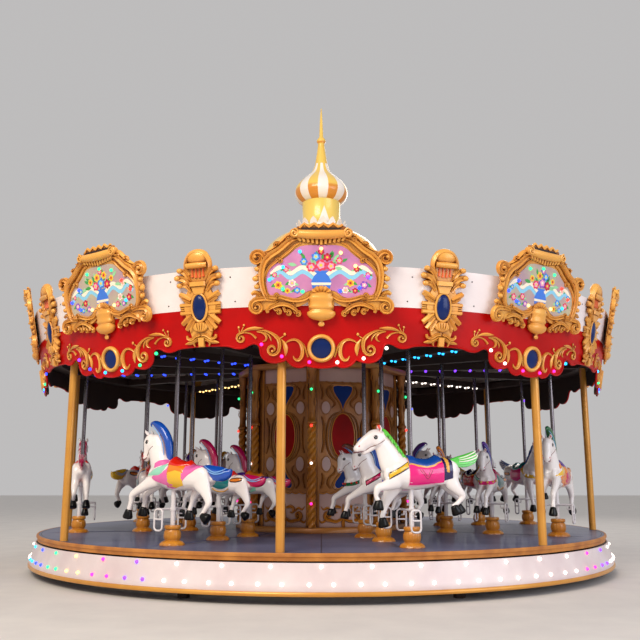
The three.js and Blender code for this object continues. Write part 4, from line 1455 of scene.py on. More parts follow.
# %% Rope columns
def rope_tree():
    tree = bpy.data.node_groups.new("rope_columns", "GeometryNodeTree")
    sockets = tree.interface
    sockets.new_socket("Points", in_out="INPUT", socket_type="NodeSocketGeometry")
    for name in ("Height", "Radius", "Turns"):
        sockets.new_socket(name, in_out="INPUT", socket_type="NodeSocketFloat")
    sockets.new_socket("Paint", in_out="INPUT", socket_type="NodeSocketMaterial")
    sockets.new_socket("Columns", in_out="OUTPUT", socket_type="NodeSocketGeometry")
    inlet = add(tree, "NodeGroupInput")
    top = add(tree, "ShaderNodeCombineXYZ", {"Z": inlet.outputs["Height"]})
    line = add(tree, "GeometryNodeCurvePrimitiveLine", {"End": top.outputs[0]})
    steps = add(tree, "GeometryNodeResampleCurve", {"Curve": line.outputs[0], "Count": 90})
    along = add(tree, "GeometryNodeSplineParameter")
    full_turns = add(tree, "ShaderNodeMath", {0: inlet.outputs["Turns"], 1: 2 * math.pi},
                     operation="MULTIPLY")
    tilt = add(tree, "ShaderNodeMath", {0: along.outputs["Factor"], 1: full_turns.outputs[0]},
               operation="MULTIPLY")
    twisted = add(tree, "GeometryNodeSetCurveTilt", {"Curve": steps.outputs[0], "Tilt": tilt.outputs[0]})
    ring = add(tree, "GeometryNodeCurvePrimitiveCircle", {
        "Resolution": 18, "Radius": inlet.outputs["Radius"]})
    spot = add(tree, "GeometryNodeInputPosition")
    parts = add(tree, "ShaderNodeSeparateXYZ", {"Vector": spot.outputs[0]})
    angle = add(tree, "ShaderNodeMath", {0: parts.outputs[1], 1: parts.outputs[0]}, operation="ARCTAN2")
    three = add(tree, "ShaderNodeMath", {0: angle.outputs[0], 1: 1.5}, operation="MULTIPLY")
    wave = add(tree, "ShaderNodeMath", {0: three.outputs[0]}, operation="COSINE")
    lobe = add(tree, "ShaderNodeMath", {0: wave.outputs[0]}, operation="ABSOLUTE")
    scale = add(tree, "ShaderNodeMapRange", {"Value": lobe.outputs[0], "To Min": 0.70, "To Max": 1.0})
    lobed_spot = add(tree, "ShaderNodeVectorMath", {0: spot.outputs[0], "Scale": scale.outputs[0]},
                     operation="SCALE")
    lobed_ring = add(tree, "GeometryNodeSetPosition", {
        "Geometry": ring.outputs[0], "Position": lobed_spot.outputs[0]})
    rope = add(tree, "GeometryNodeCurveToMesh", {
        "Curve": twisted.outputs[0], "Profile Curve": lobed_ring.outputs[0], "Fill Caps": True})
    set_down = add(tree, "GeometryNodeInstanceOnPoints", {
        "Points": inlet.outputs["Points"], "Instance": rope.outputs[0]})
    real = add(tree, "GeometryNodeRealizeInstances", {"Geometry": set_down.outputs[0]})
    dressed = add(tree, "GeometryNodeSetMaterial", {
        "Geometry": real.outputs[0], "Material": inlet.outputs["Paint"]})
    add(tree, "NodeGroupOutput", {"Columns": dressed.outputs[0]})
    return tree


COLUMN_RING = 1.150
rope_feet = bare_points("rope_points", [around(COLUMN_RING, azimuth, DECK + 0.075) for azimuth in CORNERS])
rope_sizes = {"Height": 1.300, "Radius": 0.059, "Turns": 4.5, "Paint": amber}
baked(rope_feet, rope_tree(), rope_sizes, "rope_columns", "turntable", 60)

# %% [markdown]
# The ropes stand on an eight-sided sill. Above each rope a turned shaft goes on to a lintel that is like the
# sill. Twelve leaves wind round the shaft by the golden angle, as leaves grow on a stem.

# %% Corner columns
SILL = [(1.081, 0.0), (1.225, 0.0), (1.225, 0.052), (1.212, 0.070), (1.081, 0.070)]
SHAFT = [(0, 1.372), (0.052, 1.372), (0.066, 1.385), (0.068, 1.405), (0.050, 1.425), (0.044, 1.50),
         (0.050, 1.60), (0.046, 1.72), (0.042, 1.90), (0.048, 2.02), (0.062, 2.09), (0.068, 2.128),
         (0, 2.1285)]
LEAF_STEPS = ((0.040, 0), (0.060, 0.04), (0.054, 0.085), (0.066, 0.11))
corner = Shape()
# The sills, shafts and leaves are in the deeper, shaded gold: painted shade
for low, flip in ((CORE_LOW, 1), (CORE_HIGH, -1)):
    ring = Shape()
    turned(ring, [(radius, low + flip * up) for radius, up in SILL], 8, shaded_gold)
    corner.join(ring, spun(CORNERS[0]))
column = Shape()
turned(column, SHAFT, 24, shaded_gold)
for k in range(12):
    turn = 137.5 * k
    leaf_line = [around(radius, turn, 1.44 + 0.052 * k + rise) for radius, rise in LEAF_STEPS]
    swept(column, smooth(leaf_line, 3), LEAF, [[0.014, 0.007], [0.018, 0.008], [0.006, 0.004]], shaded_gold,
          up=around(1, turn, 0))
for azimuth in CORNERS:
    corner.join(column, by_matrix(Matrix.Translation(around(COLUMN_RING, azimuth, DECK))))
made("corner_columns", corner, "turntable", ["centre_columns"])

# %% [markdown]
# Under the canopy everything is painted dark brown, partly its own paint and partly painted shade, and the
# lamps on the arms stand out against it.
# Four more lamps go up each corner of the centre. Then every colour of lamp on the turning part is set out.

# %% Dark frames and the turning lamps
ARM_TONES = ["violet", "cyan", "violet", "white", "warm", "warm", "blue", "blue"]
CORNER_LAMPS = ((1.824, "green"), (1.354, "red"), (0.875, "white"), (0.369, "magenta"))
# The dark brown under the canopy is partly painted shade
for name, paint in (("base_frame", dark_steel), ("turntable_frame", dark_steel), ("canopy_frame", brown_and_shade),
                    ("canopy_ring", brown_and_shade)):
    bpy.data.objects[name].material_slots[0].material = paint
for azimuth in CORNERS:
    for rise, tone in CORNER_LAMPS:
        put_lamp(tone, around(COLUMN_RING + 0.058, azimuth, DECK + rise), azimuth)
for azimuth, tone in zip(CORNERS, ARM_TONES):
    turn = math.radians(azimuth)
    across = Vector((math.cos(turn), math.sin(turn), 0)) * 0.034
    for step in range(11):
        middle = Vector(around(1.30 + 0.21 * step, azimuth, CEILING_LOW - 0.001))
        for side in (-1, 1):
            lamp_places[tone].append((tuple(middle + across * side), (math.pi, 0.0, 0.0)))
for tone, stands in lamp_places.items():
    copies("lamps_" + tone, stands, cap, lamps[tone], "turntable")

# %% [markdown]
# A zigzag of pale caps runs round the standing skirt, with coloured runs at the left and right ends as the
# photo shows them. A run's tone is given for one azimuth and holds for its neighbours.

# %% Skirt lamps
SKIRT_RUNS = {-62: "cyan", -58: "blue", -54: "violet", -48: "green", -42: "warm", -38: "magenta", -33: "cyan",
              -26: "violet", 47: "magenta", 52: "magenta", 57: "violet"}
RUN_REACH = 3.7
ZIGZAG = ((0, 3.7925, 0.345), (1.7, 3.8335, 0.190), (-1.7, 3.8335, 0.190))
edge_places = {}
for k in range(50):
    azimuth = 7.2 * k - 180
    near = min(SKIRT_RUNS, key=lambda run: abs(run - azimuth))
    tone = SKIRT_RUNS[near] if abs(near - azimuth) < RUN_REACH else "white"
    for turn, radius, rise in ZIGZAG:
        stand = (around(radius, azimuth + turn, rise), facing(azimuth + turn))
        edge_places.setdefault(tone, []).append(stand)
for tone, stands in edge_places.items():
    copies("skirt_lamps_" + tone, stands, cap, lamps[tone], "base")

# %% [markdown]
# A carousel horse is a hollow moulding with no seams to see, so the body has to be one skin. It is roughed
# out as overlapping tapered limbs, melted together with a voxel remesh, smoothed like sanded filler, and
# thinned to a fair number of faces. Two poses share the work: one with a stretched neck, one with a tucked
# head.


# %% Flesh
def flesh(shape, stations, sides=18):
    """A limb with round ends, through stations of x, y, z, half height and half width, in millimetres."""
    stations = np.asarray(stations, float) / 1000
    line = smooth(stations, 4)
    for end, inside in ((0, 1), (-1, -2)):
        tip = line[end]
        ahead = tip[:3] - line[inside][:3]
        ahead /= np.linalg.norm(ahead)
        steps = [np.concatenate([tip[:3] + ahead * reach * tip[3:].min(), tip[3:] * share])
                 for reach, share in ((0.45, 0.88), (0.80, 0.58), (0.95, 0.25))]
        line = np.vstack([steps[::-1], line]) if end == 0 else np.vstack([line, steps])
    return swept(shape, line[:, :3], circle(sides), line[:, 3:], None, up=(0, 1, 0))


# %% [markdown]
# The horse's x runs ahead from its pole and its z up from the deck. The trunk comes first, then neck, head,
# jaw, two forelegs and two hind legs, all as stations along a limb.

# %% Trunk and limbs
TORSO = {
    "stretched": [(232, 0, 720, 95, 76), (150, 0, 728, 135, 108), (0, 0, 726, 157, 128),
                  (-170, 0, 728, 142, 134), (-300, 0, 752, 135, 131), (-400, 0, 775, 122, 122),
                  (-470, 0, 778, 92, 92), (-508, 0, 772, 50, 52)],
    "tucked": [(232, 0, 730, 95, 76), (150, 0, 735, 135, 108), (0, 0, 718, 158, 128),
               (-170, 0, 700, 138, 134), (-300, 0, 690, 125, 131), (-400, 0, 690, 118, 122),
               (-470, 0, 690, 90, 90), (-505, 0, 690, 50, 52)],
}
LIMBS = {
    "stretched": [
        [(140, 0, 780, 150, 106), (196, 0, 832, 142, 88), (242, 0, 918, 124, 70), (288, 0, 1003, 102, 59),
         (316, 0, 1050, 94, 54)],
        [(318, 0, 1096, 84, 59), (390, 0, 1098, 90, 63), (452, 0, 1070, 77, 54), (512, 0, 1031, 65, 46),
         (560, 0, 997, 52, 43), (584, 0, 982, 42, 40)],
        [(400, 0, 1010, 30, 36), (460, 0, 972, 27, 32), (515, 0, 942, 23, 29)],
        [(190, 58, 668, 92, 54), (300, 70, 618, 54, 41), (384, 74, 598, 41, 35), (404, 74, 560, 34, 30),
         (412, 74, 515, 24, 22), (396, 74, 478, 28, 24), (386, 74, 462, 26, 24)],
        [(160, -58, 640, 122, 60), (208, -66, 540, 76, 50), (246, -72, 450, 46, 38), (270, -72, 375, 30, 27),
         (290, -72, 318, 28, 24), (292, -72, 290, 26, 23)],
        [(-410, 56, 760, 112, 62), (-425, 66, 655, 88, 52), (-490, 72, 572, 56, 41), (-546, 74, 512, 37, 30),
         (-512, 76, 462, 26, 23), (-462, 78, 424, 24, 21), (-440, 78, 410, 27, 24)],
        [(-410, -56, 755, 110, 62), (-430, -66, 645, 80, 50), (-495, -72, 560, 52, 39),
         (-556, -74, 500, 36, 29), (-572, -76, 452, 25, 22), (-568, -78, 424, 26, 23),
         (-566, -78, 412, 27, 24)],
    ],
    "tucked": [
        [(140, 0, 780, 150, 106), (186, 0, 850, 130, 94), (220, 0, 930, 116, 84), (246, 0, 1020, 118, 76),
         (276, 0, 1095, 100, 66)],
        [(322, 0, 1108, 82, 62), (342, 0, 1060, 88, 66), (362, 0, 1000, 68, 54), (378, 0, 950, 50, 44),
         (388, 0, 918, 48, 43), (392, 0, 900, 38, 36)],
        [(300, 0, 1020, 60, 52), (322, 0, 970, 40, 40), (350, 0, 930, 26, 30)],
        [(210, 58, 680, 90, 54), (330, 70, 615, 58, 44), (450, 74, 550, 44, 37), (510, 74, 508, 38, 33),
         (520, 74, 445, 27, 26), (540, 74, 378, 29, 26), (548, 74, 352, 28, 25)],
        [(200, -58, 680, 84, 52), (310, -68, 600, 50, 40), (410, -72, 540, 40, 34), (452, -72, 500, 35, 31),
         (458, -74, 440, 25, 23), (470, -76, 395, 27, 24), (474, -76, 375, 26, 24)],
        [(-370, 56, 700, 128, 64), (-425, 66, 620, 98, 54), (-472, 72, 550, 64, 44), (-514, 74, 448, 40, 33),
         (-480, 76, 385, 27, 25), (-442, 78, 328, 27, 25), (-434, 78, 314, 28, 25)],
        [(-375, -56, 690, 118, 62), (-310, -66, 600, 74, 48), (-236, -72, 540, 48, 38),
         (-200, -74, 480, 35, 31), (-180, -76, 420, 25, 23), (-160, -78, 370, 27, 25),
         (-156, -78, 352, 26, 24)],
    ],
}

# %% [markdown]
# Muscles, cheeks and brows are balls on both sides: a place and three half sizes. A hoof is given by the
# end of its leg and the direction in which it points.

# %% Muscles and hooves
MUSCLES = {
    "stretched": [(240, 42, 728, 76, 48, 88), (150, 78, 740, 88, 42, 112), (-410, 70, 766, 104, 56, 110),
                  (372, 40, 1066, 60, 26, 58), (404, 46, 1116, 26, 16, 18), (588, 24, 994, 20, 16, 22),
                  (545, 28, 984, 42, 16, 26), (-280, 80, 690, 130, 44, 70)],
    "tucked": [(240, 42, 728, 76, 48, 88), (150, 78, 735, 88, 42, 108), (-370, 70, 700, 130, 56, 118),
               (312, 44, 1062, 66, 28, 64), (342, 50, 1090, 20, 15, 26), (404, 24, 914, 20, 18, 22),
               (388, 28, 950, 26, 16, 40), (-200, 80, 670, 120, 44, 70)],
}
HOOVES = {
    "stretched": [((382, 74, 466), (0.12, -0.99)), ((291, -72, 288), (-0.15, -0.99)),
                  ((-442, 78, 408), (-0.45, -0.89)), ((-566, -78, 412), (-0.35, -0.94))],
    "tucked": [((550, 74, 352), (0.15, -0.99)), ((476, -76, 374), (0.10, -0.99)),
               ((-438, 78, 318), (-0.85, -0.53)), ((-156, -78, 348), (0.05, -1.0))],
}


# %% [markdown]
# The rough body is melted into one skin and thinned three times, for the three rings: the outer horses are
# seen from nearest, so they keep the most faces.

# %% Skins
VOXEL = 0.008
RING_FACES = {"outer": 7400, "middle": 4800, "inner": 3800}


def melted(kind, faces):
    """One skin from the limbs of a pose, with about as many triangles as asked for."""
    rough = Shape()
    flesh(rough, TORSO[kind])
    for stations in LIMBS[kind]:
        flesh(rough, stations)
    for x, y, z, a, b, c in MUSCLES[kind]:
        for side in (-1, 1):
            ball(rough, np.array((x, side * y, z)) / 1000, np.array((a, b, c)) / 1000, None, 16, 10)
    mesh = bpy.data.meshes.new("rough_horse")
    mesh.from_pydata(rough.points.tolist(), [], rough.faces)
    block = placed("rough_horse", mesh)
    melt = block.modifiers.new("melt", "REMESH")
    melt.mode = "VOXEL"
    melt.voxel_size = VOXEL
    sand = block.modifiers.new("sand", "SMOOTH")
    sand.factor = 0.5
    sand.iterations = 7
    thin = block.modifiers.new("thin", "DECIMATE")
    dense = grown(block)
    full = triangle_count(dense)
    bpy.data.meshes.remove(dense)
    results = []
    for wanted in faces:
        thin.ratio = wanted / full
        skin = grown(block)
        points = np.array([tuple(vertex.co) for vertex in skin.vertices])
        results.append((points, [list(polygon.vertices) for polygon in skin.polygons]))
        bpy.data.meshes.remove(skin)
    block.modifiers.clear()
    bpy.data.objects.remove(block)
    print(kind, "skins:", [len(polygons) for points, polygons in results])
    return results


skins = {kind: dict(zip(RING_FACES, melted(kind, RING_FACES.values()))) for kind in LIMBS}

# %% [markdown]
# Horses are lacquered white, and the pink mixed into the folds and hollows, round the muzzle too, is painted
# shade. Tack and hair are painted in clear enamels, glossy enough to mirror the lamps.

# %% Horse paints
# The pink given for the horses' hollows is painted shade
horse_white = painted("horse_lacquer", "FFF9F6", "F7EDEA", 60, 0.2, 0.03, 0.0, 0.6, hollow_shade="E2B4AC")
hoof_black = painted("hoof_enamel", "060505", "070606", 20, 0.3, 0.05, 0.0, 0.1, glint=0.25)
eye_dark = painted("eye_enamel", "120A0A", "080404", 20, 0.06, 0.0, 0.0, 1.0)
lip_pink = painted("lip_airbrush", "E8808C", "DC6C7C", 12, 0.35, 0.03)
lip_dark = painted("mouth_enamel", "7A2630", "64202A", 12, 0.35, 0.03)
tack_codes = {"green": "6CDC50", "lime": "5ED84E", "blue": "1450B8", "navy": "1C1450", "magenta": "F01482",
              "cerise": "C81058", "purple": "5A2C96", "yellow": "F6C22C", "orange": "F08418", "red": "E0200E",
              "teal": "12787C", "mint": "9CE0C4", "pink": "F06CB4", "blush": "F8BCD0", "sky": "7FB4F0",
              "azure": "16489C", "black": "1C1416", "gold": "E8AE4A", "white": "FFF4EE", "forest": "1C6A3C",
              "brown": "6A3218"}
enamel = {name: painted(name + "_enamel", code, code, 25, 0.2, 0.05, 0.0, 0.6)
          for name, code in tack_codes.items()}

# %% [markdown]
# Blankets, straps and saddles lie on the skin. Rays are sent at the body from all round, and each patch is
# laid where they land, a few millimetres proud, with a thinner edge.

# %% Laying a patch
EDGE_SHARE = 0.45
SUNK = 0.003
RAY = 0.6


def laid(shape, skin, origins, aims, thick, paint):
    """A closed patch laid on the skin. origins and aims are grids of rays, thick is a number or a grid."""
    rows, columns = origins.shape[:2]
    thick = np.broadcast_to(thick, (rows, columns)).copy()
    thick[[0, -1], :] *= EDGE_SHARE
    thick[1:-1, [0, -1]] *= EDGE_SHARE
    landed = np.zeros((rows, columns, 3))
    for i in range(rows):
        for j in range(columns):
            hit = skin.ray_cast(Vector(origins[i, j]), Vector(aims[i, j]))[0]
            landed[i, j] = hit if hit else origins[i, j] + aims[i, j] * 0.5
    outer = landed - aims * thick[:, :, None]
    inner = landed + aims * SUNK
    points = np.vstack([outer.reshape(-1, 3), inner.reshape(-1, 3)])
    at = lambda i, j, level: level * rows * columns + i * columns + j
    faces = []
    for i in range(rows - 1):
        for j in range(columns - 1):
            faces.append([at(i, j, 0), at(i, j + 1, 0), at(i + 1, j + 1, 0), at(i + 1, j, 0)])
            faces.append([at(i, j, 1), at(i + 1, j, 1), at(i + 1, j + 1, 1), at(i, j + 1, 1)])
    rim = ([(0, j) for j in range(columns)] + [(i, columns - 1) for i in range(1, rows)]
           + [(rows - 1, j) for j in range(columns - 2, -1, -1)] + [(i, 0) for i in range(rows - 2, 0, -1)])
    for (i, j), (m, n) in zip(rim, rim[1:] + rim[:1]):
        faces.append([at(i, j, 0), at(i, j, 1), at(m, n, 1), at(m, n, 0)])
    return shape.add(points, faces, paint)


# %% [markdown]
# A blanket hangs over the back, so its rays come from a half circle above the spine. A breast strap goes
# round the chest, so its rays come from an arc in front.

# %% Blankets and straps
BACK_ROWS, BACK_COLUMNS = 9, 17
SPINE = 0.740
CHEST = 0.10
CHEST_ROWS, CHEST_COLUMNS = 4, 29


def over_back(shape, skin, front, rear, reach, thick, paint, rows=BACK_ROWS):
    """A patch over the back from one x to another, in metres. reach is how far it hangs, in degrees from the
    top, as values spread from front to rear."""
    share = np.linspace(0, 1, rows)[:, None]
    hang = np.interp(share, np.linspace(0, 1, len(reach)), reach)
    angle = np.radians(hang * np.linspace(-1, 1, BACK_COLUMNS))
    x = front + (rear - front) * share + 0 * angle
    away = np.stack([0 * x, np.sin(angle), np.cos(angle)], 2)
    middle = np.stack([x, 0 * x, 0 * x + SPINE], 2)
    laid(shape, skin, middle + away * RAY, -away, thick, paint)


def round_chest(shape, skin, marks, width, thick, paint):
    """A strap round the chest. marks are [degrees from straight ahead, height] pairs for one side."""
    turns, heights = zip(*marks)
    angle = np.repeat(np.linspace(-turns[-1], turns[-1], CHEST_COLUMNS)[None], CHEST_ROWS, 0)
    rise = np.interp(np.abs(angle), turns, heights) + np.linspace(-width / 2, width / 2, CHEST_ROWS)[:, None]
    angle = np.radians(angle)
    away = np.stack([np.cos(angle), np.sin(angle), 0 * angle], 2)
    middle = np.stack([0 * angle + CHEST, 0 * angle, rise], 2)
    laid(shape, skin, middle + away * RAY, -away, thick, paint)


# %% [markdown]
# Side rays find the place of an eye, the line of a bridle, and the badges on the flanks.


# %% On the flanks
def spot(skin, x, z, side):
    """Where a side ray at x and z, in millimetres, lands on the skin."""
    hit = skin.ray_cast(Vector((x / 1000, side * 0.5, z / 1000)), Vector((0, -side, 0)))[0]
    return np.array(hit) if hit else np.array((x / 1000, side * 0.03, z / 1000))


def drawn(shape, skin, marks, widths, paint, lift=0.001):
    """A thin cord or painted line on both flanks through x and z marks, in millimetres."""
    for side in (-1, 1):
        line = [spot(skin, x, z, side) + (0, side * lift, 0) for x, z in smooth(marks, 2)]
        swept(shape, np.array(line), circle(4), widths, paint)


def side_patch(shape, skin, outline, thick, paint):
    """A flat badge on both flanks. outline gives the lower and upper z at x stations, in millimetres."""
    stations, lows, highs = (np.array(values, float) / 1000 for values in zip(*outline))
    order = np.argsort(stations)
    x = np.repeat(np.linspace(stations[0], stations[-1], 11)[None], 6, 0)
    low, high = (np.interp(x, stations[order], values[order]) for values in (lows, highs))
    z = low + (high - low) * np.linspace(0, 1, 6)[:, None]
    for side in (-1, 1):
        origins = np.stack([x, 0 * x + side * 0.5, z], 2)
        aims = np.broadcast_to(np.array((0.0, -side, 0.0)), origins.shape)
        laid(shape, skin, origins, aims, thick, paint)


# %% [markdown]
# Hair is carved in locks and rolls. A lock is a flat groove with a point, and a roll is a fat coil with
# ribs.


# %% Locks and rolls
def lock(shape, points, widths, paint, up=(0, 1, 0), flat=0.55):
    line = smooth(np.asarray(points, float) / 1000, 2)
    scale = [(width / 1000, width * flat / 1000) for width in widths]
    return swept(shape, line, HAIR, scale, paint, up=up)


def roll(shape, points, widths, paint, sides=15):
    """A thick roll of hair with grooves along it."""
    angles = np.linspace(0, 2 * math.pi, sides, endpoint=False)
    ribbed = 1 - 0.10 * np.abs(np.sin(2.5 * angles))
    ribs = np.column_stack([ribbed * np.cos(angles), ribbed * np.sin(angles)]).tolist()
    line = smooth(np.asarray(points, float) / 1000, 3)
    scale = smooth(np.asarray(widths, float) / 1000, 3)
    return swept(shape, line, ribs, scale, paint, up=(0, 1, 0))


# %% [markdown]
# The stretched horses have a fringe of short locks down the crest and a tail of seven locks that stream out
# behind, with a white painted highlight along both sides of each.

# %% Streaming hair
CREST = [(320, 1184), (290, 1166), (246, 1120), (202, 1064), (152, 998), (106, 936), (68, 888), (38, 862)]
TAIL_LOCKS = ((46, 0, 0), (24, -18, 24), (20, 20, 12), (-4, -12, 40), (-6, 16, 30), (-34, 0, 14), (4, 0, 52))


def streaming_hair(shape, mane, tail):
    crest = smooth(CREST, 4)
    girths = [(16, 16)] * 2 + [(22, 22)] * 6 + [(14, 14)] * 2
    roll(shape, [(x, 0, z - 4) for x, z in crest[::3]], girths, mane, 14)
    for number, (x, z) in enumerate(crest[1::2]):
        for side in (-1, 1):
            drop = 40 + 14 * ((number * 7 + side) % 3)
            line = [(x, side * 6, z + 8), (x - 14, side * 24, z - 6), (x - 20, side * 42, z - drop * 0.55),
                    (x - 14 - 5 * (number % 3), side * 54, z - drop)]
            lock(shape, line, [12, 15, 12, 3], mane, up=(0, side, 0.3))
    for rise, spread, reach in TAIL_LOCKS:
        line = [(-446, spread * 0.3, 852 + rise * 0.25), (-540, spread * 0.7, 856 + rise * 0.7),
                (-640, spread, 868 + rise), (-720 - reach * 0.4, spread * 1.1, 900 + rise * 1.1),
                (-748 - reach * 0.3, spread, 926 + rise)]
        lock(shape, line, [22, 29, 30, 22, 3], tail, flat=0.8)
        for side in (-1, 1):
            # White lines on both sides of a lock are painted highlights
            highlight_line = [(x, y + side * 20, z + 8) for x, y, z in line[1:]]
            lock(shape, highlight_line, [3, 6, 6, 2], enamel["white"], flat=0.8)


# %% [markdown]
# The tucked horses have a fat rolled mane with a curl over the brow, and a rolled tail. Sky-blue lines along
# their grooves are painted highlights.

# %% Rolled hair
MANE_ROLL = [(338, 1246), (346, 1268), (326, 1286), (282, 1276), (216, 1238), (148, 1172), (98, 1090),
             (74, 1000), (64, 920), (64, 868)]
MANE_GIRTHS = [(6, 8), (10, 12), (16, 20), (34, 34), (50, 46), (52, 50), (50, 52), (48, 50), (44, 46),
               (34, 34)]
MANE_LINE = [(318, 20, 1250), (258, 36, 1216), (190, 46, 1150), (144, 50, 1070), (122, 50, 980),
             (112, 46, 900)]
TAIL_ROLL = [(-376, 800), (-424, 780), (-486, 752), (-560, 732), (-634, 726), (-696, 742), (-736, 772)]
TAIL_GIRTHS = [(20, 22), (52, 46), (72, 60), (80, 66), (76, 62), (54, 46), (16, 18)]


def rolled_hair(shape, mane, tail):
    roll(shape, [(x, 0, z) for x, z in MANE_ROLL], MANE_GIRTHS, mane)
    # Sky-blue lines along the mane are painted highlights
    for side in (-1, 1):
        lock(shape, [(x, side * y, z) for x, y, z in MANE_LINE], [3, 5, 6, 6, 5, 2], enamel["sky"],
             up=(0, side, 0.2))
    roll(shape, [(x, 0, z) for x, z in TAIL_ROLL], TAIL_GIRTHS, tail)
    # Sky-blue lines along the tail are painted highlights
    for side in (-1, 1):
        for rise in (34, 4):
            line = [(-420, side * 44, 786 + rise), (-490, side * 61, 752 + rise * 0.8),
                    (-566, side * 66, 730 + rise * 0.6), (-640, side * 61, 734 + rise * 0.8),
                    (-706, side * 40, 756 + rise)]
            lock(shape, line, [3, 6, 7, 6, 2], enamel["sky"], up=(0, side, 0.2))


# %% [markdown]
# The face is small work: a dark glass eye with a painted glint and a brow, a nostril, an ear with a pink
# inside, and the line of the mouth. The hooves are black.

# %% Faces
FACES = {
    "stretched": {"eye": (400, 1096), "nostril": (574, 1010), "ear": ((340, 34, 1160), (348, 48, 1226)),
                  "inside": (1, 0.3, 0.2), "mouth": [(612, 944), (580, 950), (545, 956), (505, 966)]},
    "tucked": {"eye": (344, 1072), "nostril": (408, 926), "ear": ((352, 34, 1160), (388, 48, 1206)),
               "inside": (0.8, 0.4, -0.2), "mouth": [(416, 884), (394, 890), (372, 902), (356, 918)]},
}


def face(shape, kind, skin):
    """Eyes, brows, nostrils, ears and mouth."""
    marks = FACES[kind]
    eye = marks["eye"]
    for side in (-1, 1):
        place = spot(skin, *eye, side)
        ball(shape, place + (0, -side * 0.004, 0), (0.023, 0.012, 0.018), eye_dark, 14, 8)
        # A white dot on the eye is a painted highlight
        ball(shape, place + (0.004, side * 0.0065, 0.005), (0.0035, 0.003, 0.0035), horse_white, 6, 4)
        brow = [spot(skin, eye[0] + a, eye[1] + b, side) for a, b in ((-28, 8), (-12, 20), (8, 22), (26, 12))]
        swept(shape, smooth(brow, 3), circle(6), [0.001, 0.004, 0.004, 0.001], hoof_black)
        hole = spot(skin, *marks["nostril"], side)
        ball(shape, hole, (0.009, 0.006, 0.011), lip_pink)
        root, tip = (np.array((x, side * y, z)) / 1000 for x, y, z in marks["ear"])
        middle = (root + tip) / 2 + np.array((-0.004, side * 0.008, 0))
        swept(shape, smooth([root - (tip - root) * 0.3, root, middle, tip], 4), circle(12),
              [[0.014, 0.012], [0.021, 0.015], [0.019, 0.011], [0.003, 0.002]], horse_white, up=(1, 0, 0.2))
        front = np.array(marks["inside"]) * (1, side, 1) * 0.0085
        swept(shape, smooth([root + front, middle + front, (middle + tip) / 2 + front * 0.7], 3), circle(8),
              [[0.009, 0.005], [0.012, 0.006], [0.003, 0.002]], lip_pink, up=(1, 0, 0.2))
    drawn(shape, skin, marks["mouth"], [0.006, 0.008, 0.006, 0.001], lip_dark)


def hooves(shape, kind):
    for (x, y, z), (a, b) in HOOVES[kind]:
        aim = np.array((a, 0, b)) / math.hypot(a, b)
        top = np.array((x, y, z)) / 1000
        line = [top + aim * step for step in (-0.012, 0.0, 0.014, 0.064, 0.084, 0.092)]
        swept(shape, line, circle(18), [[0.020, 0.020], [0.037, 0.034], [0.041, 0.037], [0.057, 0.049],
                                        [0.056, 0.048], [0.042, 0.038]], hoof_black, up=(0, 1, 0))


# %% [markdown]
# Three sets of tack are shared out over the ride, in the colours of a paint shop's whole shelf. The first
# has a square blanket with a drawn zigzag, a crupper band and badges.


# %% Square blanket
def saddle_height(low, front, rear):
    """Thickness of a saddle: a pommel in front, a cantle behind, thinner down the flaps."""
    along = np.linspace(0, 1, BACK_ROWS)[:, None]
    across = np.linspace(-1, 1, BACK_COLUMNS)[None]
    rise = front * np.exp(-(along / 0.16) ** 2) + rear * np.exp(-((1 - along) / 0.2) ** 2)
    return low + rise * np.clip(1 - across ** 2 * 1.3, 0, 1)


def square_set(shape, skin, main, seat, trim, strap):
    over_back(shape, skin, 0.062, -0.326, [150, 147, 144, 141, 138], 0.004, enamel["blush"])
    over_back(shape, skin, 0.056, -0.320, [142, 140, 137, 133, 128], 0.010, main)
    for marks in ([(-47, 778), (-89, 728), (-131, 682), (-163, 728), (-195, 778)],
                  [(-75, 778), (-103, 740), (-131, 706), (-148, 740), (-165, 778)]):
        drawn(shape, skin, marks, [0.003, 0.003], enamel["brown"], 0.010)
    over_back(shape, skin, 0.050, -0.310, [44, 58, 66, 56, 34], saddle_height(0.020, 0.050, 0.044), seat)
    over_back(shape, skin, 0.056, -0.316, [47, 62, 70, 60, 37], 0.015, trim)
    over_back(shape, skin, -0.322, -0.420, [122, 118, 112], 0.010, enamel["navy"], 5)
    over_back(shape, skin, -0.340, -0.388, [92, 92], 0.014, enamel["gold"], 4)
    side_patch(shape, skin, [(276, 676, 742), (58, 792, 858)], 0.007, enamel["black"])
    side_patch(shape, skin, [(271, 688, 735), (63, 800, 850)], 0.011, strap)


# %% [markdown]
# The second set has a long blanket that is drawn out to the tail, a centre stripe, and a breast flap in the
# shape of a leaf.


# %% Long blanket
def long_set(shape, skin, main, seat, trim, strap):
    over_back(shape, skin, 0.020, -0.420, [150, 158, 140, 108, 78, 56], 0.010, main)
    side_patch(shape, skin, [(212, 690, 716), (176, 664, 772), (110, 640, 812), (50, 622, 852),
                             (14, 614, 866)], 0.010, main)
    side_patch(shape, skin, [(196, 800, 846), (150, 806, 872), (96, 812, 886), (40, 816, 884),
                             (14, 820, 870)], 0.010, main)
    over_back(shape, skin, -0.004, -0.205, [140, 150, 138], 0.015, strap)
    over_back(shape, skin, 0.000, -0.212, [96, 84, 92], 0.018, enamel["orange"])
    over_back(shape, skin, 0.010, -0.255, [50, 58, 60, 52, 34], saddle_height(0.024, 0.040, 0.036), seat)
    side_patch(shape, skin, [(312, 710, 728), (250, 706, 762), (180, 706, 796), (110, 708, 828),
                             (55, 738, 852), (14, 790, 862), (0, 812, 852)], 0.012, enamel["white"])
    side_patch(shape, skin, [(302, 716, 724), (248, 713, 754), (180, 713, 787), (112, 716, 818),
                             (60, 745, 842), (22, 796, 852), (10, 816, 844)], 0.016, trim)


# %% [markdown]
# The third set has a short blanket with a fringe cord, badges on the quarters, and a breast strap with six
# pompons.


